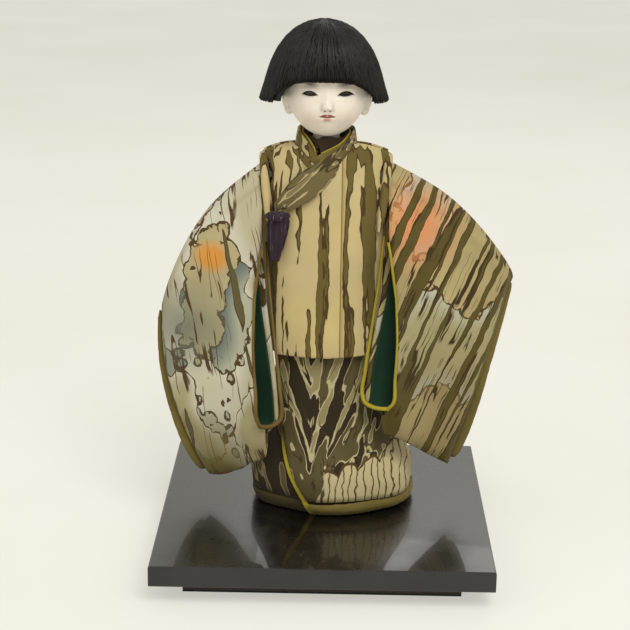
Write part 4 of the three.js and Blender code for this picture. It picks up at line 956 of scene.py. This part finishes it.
# Head: a paste core with a polished shell-powder skin, matt white with a soft gloss; brows, lashes and lips
# are painted on it. Sizes in millimetres, heights from the doll's foot.
headForm = {
    "halfWidth": 27.5, "halfDepth": 30, "chin": 253.5, "top": 324, "chinForward": 7, "nape": 0.34,
    "neckRadius": 9, "neckFoot": 247, "neckTop": 266,
    "ears": [((26.0, 0.0, 276.5), (3.6, 4.5, 7.0)), ((24.6, -0.5, 270.5), (3.4, 3.6, 4.4))],
    "voxel": 0.5, "smooth": 6, "features": 0.6, "facing": 1.5, "lidSoft": 0.5,
    "segments": (96, 64), "neckSegments": 48, "wellAhead": 200,
}
# Places on the face: x, height, half width, half height, rise; those off the middle are mirrored
faceForms = [
    (0, 281.0, 2.8, 5.5, 1.3),  # bridge of the nose
    (0, 276.4, 3.0, 3.0, 3.4),  # tip
    (2.9, 275.2, 1.7, 1.7, 1.5),  # wings
    (1.6, 273.7, 0.9, 0.6, -0.9),  # nostrils
    (11.5, 285.0, 7.5, 4.4, -1.3),  # sockets
    (11.5, 287.2, 5.6, 1.2, 0.9),  # upper lids
    (11.5, 281.2, 5.4, 1.3, 0.6),  # lower lids
    (13.0, 271.5, 8.0, 7.5, 1.5),  # cheeks
    (0, 268.8, 7.0, 5.0, 0.8),  # fullness of the mouth
    (1.6, 270.6, 1.9, 0.8, 0.6),  # upper lip
    (0, 267.6, 2.8, 1.0, 0.8),  # lower lip
    (0, 269.3, 4.2, 0.45, -0.8),  # mouth line
    (0, 272.4, 0.8, 1.4, -0.3),  # groove under the nose
    (0, 265.4, 4.0, 1.2, -0.4),  # dip under the lip
    (0, 258.5, 6.0, 4.5, 1.0),  # chin
]
eyeForm = {"x": 11.5, "height": 283.2, "halfWidth": 5.3, "rise": 2.5, "drop": 1.0, "depth": 2.2,
           "ball": (6.5, 3.0, 4.2), "sunk": 0.6, "line": 0.45, "ends": (0.85, 1.15), "ink": "#1d1511",
           "curved": 0.95, "rings": [(2.6, "#3a2213", 1.6), (1.3, "#070505", 3.0)]}


def addBall(place, halves, segments=32, rings=20):
    bpy.ops.mesh.primitive_uv_sphere_add(segments=segments, ring_count=rings, radius=1)
    ball = bpy.context.object
    writePlaces(ball, readPlaces(ball) * np.array(halves) * mm + np.array(place))
    return ball


def faceDepth(piece, x, height):  # how far back the piece's front is, at a place seen from the front
    start = atDoll(x, -headForm["wellAhead"], height)
    spot = piece.ray_cast(start, Vector((0, 1, 0)))[1]
    return (spot.y - dollY) / mm


def makeHead():
    form = headForm
    middle, half = (form["chin"] + form["top"]) / 2, (form["top"] - form["chin"]) / 2
    head = addBall((0, 0, 0), (form["halfWidth"], form["halfDepth"], half), *form["segments"])
    places = readPlaces(head) / mm
    low = np.clip(-places[:, 2] / half, 0, None)
    places[:, 1] *= np.where(places[:, 1] > 0, 1 - form["nape"] * low ** 2, 1)
    places[:, 1] -= form["chinForward"] * low
    writePlaces(head, places * mm + np.array(atDoll(0, 0, middle)))
    ears = [addBall(atDoll(side * x, y, height), halves)
            for (x, y, height), halves in form["ears"] for side in (-1, 1)]
    foot, top = form["neckFoot"], form["neckTop"]
    bpy.ops.mesh.primitive_cylinder_add(
        vertices=form["neckSegments"], radius=form["neckRadius"] * mm, depth=(top - foot) * mm,
        location=atDoll(0, 0, (foot + top) / 2))
    neck = bpy.context.object
    bpy.ops.object.transform_apply()
    joinTo(head, (*ears, neck))
    remesh(head, form["voxel"], form["smooth"])
    places = doll(head)
    front = np.clip(-readNormals(head)[:, 1] * form["facing"], 0, 1)
    for x, height, wide, tall, rise in faceForms:
        for side in ((-1, 1) if x else (1,)):
            across = (places[:, 0] - form["features"] - side * x) / wide
            up = (places[:, 2] - height) / tall
            places[:, 1] -= rise * front * np.exp(-across ** 2 - up ** 2) * (places[:, 1] < 0)
    for side in (-1, 1):  # almond openings for the eyes
        across = (places[:, 0] - form["features"] - side * eyeForm["x"]) / eyeForm["halfWidth"]
        lid = np.clip(1 - across ** 2, 0, None)
        up = places[:, 2] - eyeForm["height"]
        room = np.where(up > 0, eyeForm["rise"] * lid - up, eyeForm["drop"] * lid + up)
        places[:, 1] += eyeForm["depth"] * np.clip(room / form["lidSoft"], 0, 1) * (places[:, 1] < 0)
    setDoll(head, places)
    head.name = "head_face"
    return head


# The collars move up or down, by their angle round the neck, until they just clear the jaw at every turn
jawRoom = {"clear": 0.4, "bin": 3, "ring": 1.0, "rings": 60, "turn": 30, "beyondNeck": 1.5, "below": 1, "blend": 2}


def neckAngle(places):
    return np.degrees(np.arctan2(places[:, 0], -places[:, 1])) % 360


def jawKeys(places):  # bins by angle and by distance from the neck's middle
    radius = np.hypot(places[:, 0], places[:, 1])
    rings = np.minimum(radius // jawRoom["ring"], jawRoom["rings"] - 1)
    return (neckAngle(places) // jawRoom["bin"]).astype(int), rings.astype(int)


def leaveRoom(head, rise, *pieces):
    jaw = doll(head)
    outside = np.hypot(jaw[:, 0], jaw[:, 1]) > headForm["neckRadius"] + jawRoom["beyondNeck"]
    jaw = jaw[outside & (jaw[:, 2] > headForm["chin"] - jawRoom["below"])]
    count = 360 // jawRoom["bin"]
    lowest = np.full((count, jawRoom["rings"]), np.inf)
    np.minimum.at(lowest, jawKeys(jaw), jaw[:, 2])
    span = jawRoom["turn"] // jawRoom["bin"] + 1
    lowest = np.min([np.roll(lowest, step, 0) for step in range(-span, span + 1)], axis=0)
    excess = np.full(count, -float(rise))
    for piece in pieces:
        places = doll(piece)
        keys = jawKeys(places)
        np.maximum.at(excess, keys[0], places[:, 2] + jawRoom["clear"] - lowest[keys])
    near = range(-jawRoom["blend"], jawRoom["blend"] + 1)
    for blend in (np.max, np.mean, np.mean):
        excess = blend([np.roll(excess, step) for step in near], axis=0)
    middles = (np.arange(count) + 0.5) * jawRoom["bin"]
    for piece in pieces:
        places = doll(piece)
        places[:, 2] -= np.interp(neckAngle(places), middles, excess, period=360)
        setDoll(piece, places)
    print("lowered under the jaw", pieces[0].name, round(float(excess.max()), 2))


def startShell(name):
    return startMottled(name, "#e6dccb", [(0.3, "#e2d7c6"), (0.7, "#e9e0d1")], (9, 9), 3.0, Roughness=0.42,
                        Specular_IOR_Level=0.45)


# A thin dark line along the upper lids; both eyes come from the distance to the face's middle
def lidLine(tree, place, ground):
    form = eyeForm
    x, z = put(tree, "SeparateXYZ", (place,), out=("X", "Z"))
    x = apart(tree, x, headForm["features"])
    x = put(tree, "Math DIVIDE", (put(tree, "Math SUBTRACT", (x, form["x"])), form["halfWidth"]))
    bow = put(tree, "Math MULTIPLY", (x, x))
    lid = put(tree, "Math MULTIPLY_ADD", (bow, -form["rise"], form["height"] + form["rise"]))
    off = apart(tree, z, lid)
    line = put(tree, "MapRange", (off, form["line"] / 2, form["line"], 1, 0))
    ends = put(tree, "MapRange", (bow, *form["ends"], 1, 0))
    return put(tree, "MixRGB", (put(tree, "Math MULTIPLY", (line, ends)), ground, form["ink"]))


# Painted places on the face: x, height, half width, half height, colour, strength, turn; mirrored like the forms
faceStrokes = [
    (15, 268, 13, 11, "#e0c3b0", 0.5, 0),  # cheeks
    (11.5, 287, 8, 3.5, "#bfaf9f", 0.6, 0),  # painted shade on the lids
    (11.5, 290.2, 7.0, 2.0, "#4f4037", 1.1, -5),  # brows
    (1.6, 273.7, 1.1, 0.7, "#7d5a4c", 1.6, 0),  # nostrils: their dark pink paint and painted shade in the dents
    (3.6, 276.5, 1.6, 3.5, "#c9baa9", 0.9, 0),  # shade beside the nose
    (1.9, 270.5, 2.6, 1.1, "#94483f", 2.2, 10),  # upper lip
    (3.9, 269.7, 1.6, 0.7, "#86443b", 2.0, -6),  # corners of the mouth
    (0, 267.9, 3.6, 1.4, "#c58a7d", 1.8, 0),  # lower lip
    (0, 269.4, 4.6, 0.5, "#6a322b", 2.0, 0),  # mouth line
]
paintAt, paintDepth = -30, 20  # the paint is on the front of the face


def paintFace():
    material, tree, shader, place, mottle, colour = startShell("shellWhiteSkin")
    for x, height, wide, tall, tint, strength, turn in faceStrokes:
        for side in (-1, 1) if x else (1,):
            centre = (headForm["features"] + side * x, paintAt, height)
            colour = blush(tree, place, colour, centre, (wide, paintDepth, tall), tint, strength, side * turn)
    tree.links.new(lidLine(tree, place, colour), shader.inputs["Base Color"])
    return material


# Blown glass eyes, dark and glossy, with a brown ring round a black middle
def makeEyes(head):
    material, tree, shader = startMaterial("brownGlass", "#150e0a", Roughness=0.12, IOR=1.52, Specular_IOR_Level=0.3)
    place = millimetres(tree)
    colour = "#120c09"
    for side, sign in sides.items():
        x = headForm["features"] + sign * eyeForm["x"]
        for size, tint, strength in eyeForm["rings"]:
            iris = (x, paintAt, eyeForm["height"])
            colour = blush(tree, place, colour, iris, (size, paintDepth, size), tint, strength)
        halves = eyeForm["ball"]
        depth = faceDepth(head, x, eyeForm["height"]) - eyeForm["depth"] + halves[1] + eyeForm["sunk"]
        eye = addBall(atDoll(x, depth, eyeForm["height"]), halves)
        places = doll(eye)  # the glass follows the curve of the face
        shares = np.clip(places[:, 0] / headForm["halfWidth"], -eyeForm["curved"], eyeForm["curved"])
        curve = np.sqrt(1 - (x / headForm["halfWidth"]) ** 2) - np.sqrt(1 - shares ** 2)
        places[:, 1] += headForm["halfDepth"] * curve
        setDoll(eye, places)
        eye.name = side + "_eye_glass"
        dress(eye, material, "head", "eye_glass", side + "_eye")
    tree.links.new(colour, shader.inputs["Base Color"])


head = makeHead()
for side in sides:
    leaveRoom(head, underCollar["jawRise"], made[f"inner_collar_{side}"])
    leaveRoom(head, 0, made[f"kimono_collar_{side}"], made[f"kimono_collar_{side}_piping"])
dress(head, paintFace(), "head", "shell_white", "head_shell")
makeEyes(head)
print("head made", len(head.data.polygons))


# Hair: straight silk-like fibre combed down from the crown and cut level; black with a brown gloss. Levels are
# height, half width, and depth in front and behind; the fringe's cut is its height by the distance from the middle.
hairForm = {
    "shift": -2, "bow": 2 / 2.3,
    "levels": [(277, 42, 27, 38), (285, 39.2, 31.5, 37.5), (293, 37, 34, 36.8), (301, 34.3, 34, 35.5),
               (309, 30.5, 31.5, 32.5), (316.5, 25, 26.5, 27.5), (322.5, 18.5, 20, 20.5), (326.3, 11.5, 12, 12),
               (328.2, 5, 5, 5), (328.7, 1.5, 1.5, 1.5)],
    "fringe": [(0, 292.6), (11, 292.4), (19.5, 291), (24.5, 287), (29, 282), (29.01, 277)],
    "locks": 1900, "lockWidth": (0.9, 1.7), "lockThickness": 0.4, "steps": 9, "lift": (-0.1, 0.55),
    "liftUp": 0.5, "crownGap": 0.2, "starts": (0.0, 0.06, 0.15, 0.3, 0.45), "samples": 40, "middle": 295,
    "squat": 0.8, "fullAt": 38, "root": 0.25, "widening": 4, "tip": 0.45, "cutJitter": 0.7, "sway": 0.05, "seed": 7,
    "capVoxel": 1.0, "capSmooth": 10, "capInset": 0.5,
}
hairHeights, *hairSizes = zip(*hairForm["levels"])


def hairPoint(angle, height, lift=0.0):
    wide, front, back = (np.interp(height, hairHeights, sizes) for sizes in hairSizes)
    s, c = math.sin(angle), math.cos(angle)
    deep = front if c > 0 else back
    x = math.copysign(abs(s) ** hairForm["bow"], s) * (wide + lift)
    y = -math.copysign(abs(c) ** hairForm["bow"], c) * (deep + lift)
    return np.array((x + hairForm["shift"], y, height + lift * hairForm["liftUp"]))


def hairCut(angle):  # height of the cut below a place on the crown
    if math.cos(angle) < 0:
        return hairHeights[0]
    side = abs(hairPoint(angle, hairForm["fringe"][0][1])[0] - hairForm["shift"])
    return float(np.interp(side, *zip(*hairForm["fringe"])))


def makeHair():
    form, steps = hairForm, hairForm["steps"]
    draw = random.Random(form["seed"])
    crown = hairHeights[-1] - form["crownGap"]
    pivot = np.array((form["shift"], 0))
    points, faces = [], []
    for i in range(form["locks"]):
        angle = 2 * math.pi * (i + draw.random()) / form["locks"]
        cut = hairCut(angle) + draw.uniform(-1, 1) * form["cutJitter"]
        lift = draw.uniform(*form["lift"])
        line = np.array([hairPoint(angle, h, lift) for h in np.linspace(crown, cut, form["samples"])])
        spine = stepAlong(line, steps, draw.choice(form["starts"]))
        sway = draw.uniform(-1, 1) * form["sway"]
        width = draw.uniform(*form["lockWidth"]) / 2
        first = len(points)
        for k, spot in enumerate(spine):
            share = k / (steps - 1)
            turn = sway * math.sin(share * math.pi)
            s, c = math.sin(turn), math.cos(turn)
            x, y = spot[:2] - pivot
            spot = np.array((x * c - y * s + form["shift"], x * s + y * c, spot[2]))
            along = spine[min(k + 1, steps - 1)] - spine[max(k - 1, 0)]
            along /= np.linalg.norm(along)
            out = spot * (1, 1, form["squat"]) - (0, 0, form["middle"] * form["squat"])
            out -= along * out.dot(along)
            out /= np.linalg.norm(out)
            across = np.cross(along, out)
            reach = math.sqrt(np.linalg.norm(spot[:2] - pivot) / form["fullAt"])
            taper = min(1.0, form["root"] + form["widening"] * share) * min(reach, 1.0)
            taper *= form["tip"] if k == steps - 1 else 1.0
            half = width * taper
            points += [spot - across * half, spot + out * form["lockThickness"] * taper, spot + across * half]
            if k:
                a = first + 3 * (k - 1)
                for j in range(3):
                    n = (j + 1) % 3
                    faces.append((a + j, a + 3 + j, a + 3 + n, a + n))
        last = first + 3 * (steps - 1)
        faces += [(first, first + 1, first + 2), (last + 2, last + 1, last)]
    mesh = bpy.data.meshes.new("hair_locks")
    mesh.from_pydata([atDoll(*p) for p in points], [], faces)
    locks = addObject("hair_locks", mesh)
    faceOutwards(locks)
    cap = copyNode("hair", "hair_cap")
    remesh(cap, form["capVoxel"], form["capSmooth"])
    writePlaces(cap, readPlaces(cap) - readNormals(cap) * form["capInset"] * mm)
    return locks, cap


locks, cap = makeHair()
hairLook = startMottled(
    "combedBlackHair", "#15100d", [(0.3, "#0b0807"), (0.55, "#130e0c"), (0.8, "#241915")], (1.2, 40), 2.0,
    Roughness=0.48, Specular_IOR_Level=0.3)[0]
for piece in (locks, cap):
    dress(piece, hairLook, "head", "black_hair", "hair")
print("hair made", len(locks.data.polygons))


# Board and other hard pieces keep their solids and get their finishes
def finishNodes(material, *names):
    for name in names:
        mesh = frame["nodes"][name].data
        mesh.materials.clear()
        mesh.materials.append(material)


def lacqueredBoard():  # brushed urushi-like black lacquer: deep black, satin, with faint dust
    material, tree, shader, place, dust, tone = startMottled(
        "blackLacquer", "#0d0b0a", [(0.35, "#0c0a09"), (0.75, "#1a1715")], (25, 25), 5.0, Roughness=0.26,
        Coat_Weight=0.4)
    tree.links.new(put(tree, "MapRange", (dust, *noiseSpan, 0.2, 0.34)), shader.inputs["Roughness"])
    return material


def grainedWood(name, dark, light, rough):  # straight grain about 2 mm wide
    return startMottled(name, light, [(0.35, dark), (0.65, light)], (2.2, 60), 3.0, Roughness=rough)[0]


def drawnSteel():  # bright wire and screws, with fine marks that break the gloss
    material, tree, shader = startMaterial("drawnSteel", "#8d9093", Metallic=1.0, Roughness=0.35)
    marks = put(tree, "TexNoise", {"Vector": millimetres(tree), "Scale": 1 / 0.8, "Detail": 3.0})
    tree.links.new(put(tree, "MapRange", (marks, 0, 1, 0.25, 0.5)), shader.inputs["Roughness"])
    return material


pressedFelt = startMottled(  # dull and fuzzy
    "pressedFelt", "#26302a", [(0.3, "#1f2823"), (0.7, "#2f3a33")], (1.5, 1.5), 4.0, Roughness=0.95,
    Sheen_Weight=0.3)[0]
paleWood = grainedWood("bareWood", "#b08d5c", "#cdae7f", 0.6)
darkWood = grainedWood("stainedWood", "#2c1f15", "#3f2d1f", 0.5)
finishNodes(lacqueredBoard(), "base_board")
finishNodes(darkWood, "base_plinth", "neck_socket")
finishNodes(pressedFelt, "base_felt")
finishNodes(drawnSteel(), *(f"plinth_screw_{i}" for i in range(1, 5)),
            *(f"{side}_{name}" for side in sides for name in ("shoulder_pin", "arm_rod")))
finishNodes(paleWood, "stand_post", "torso_core", "neck_peg",
            *(f"{side}_{name}" for side in sides for name in ("leg", "shoulder_dowel")))
finishNodes(startShell("shellWhiteHands")[0], "right_hand", "left_hand")
print("hard pieces finished")
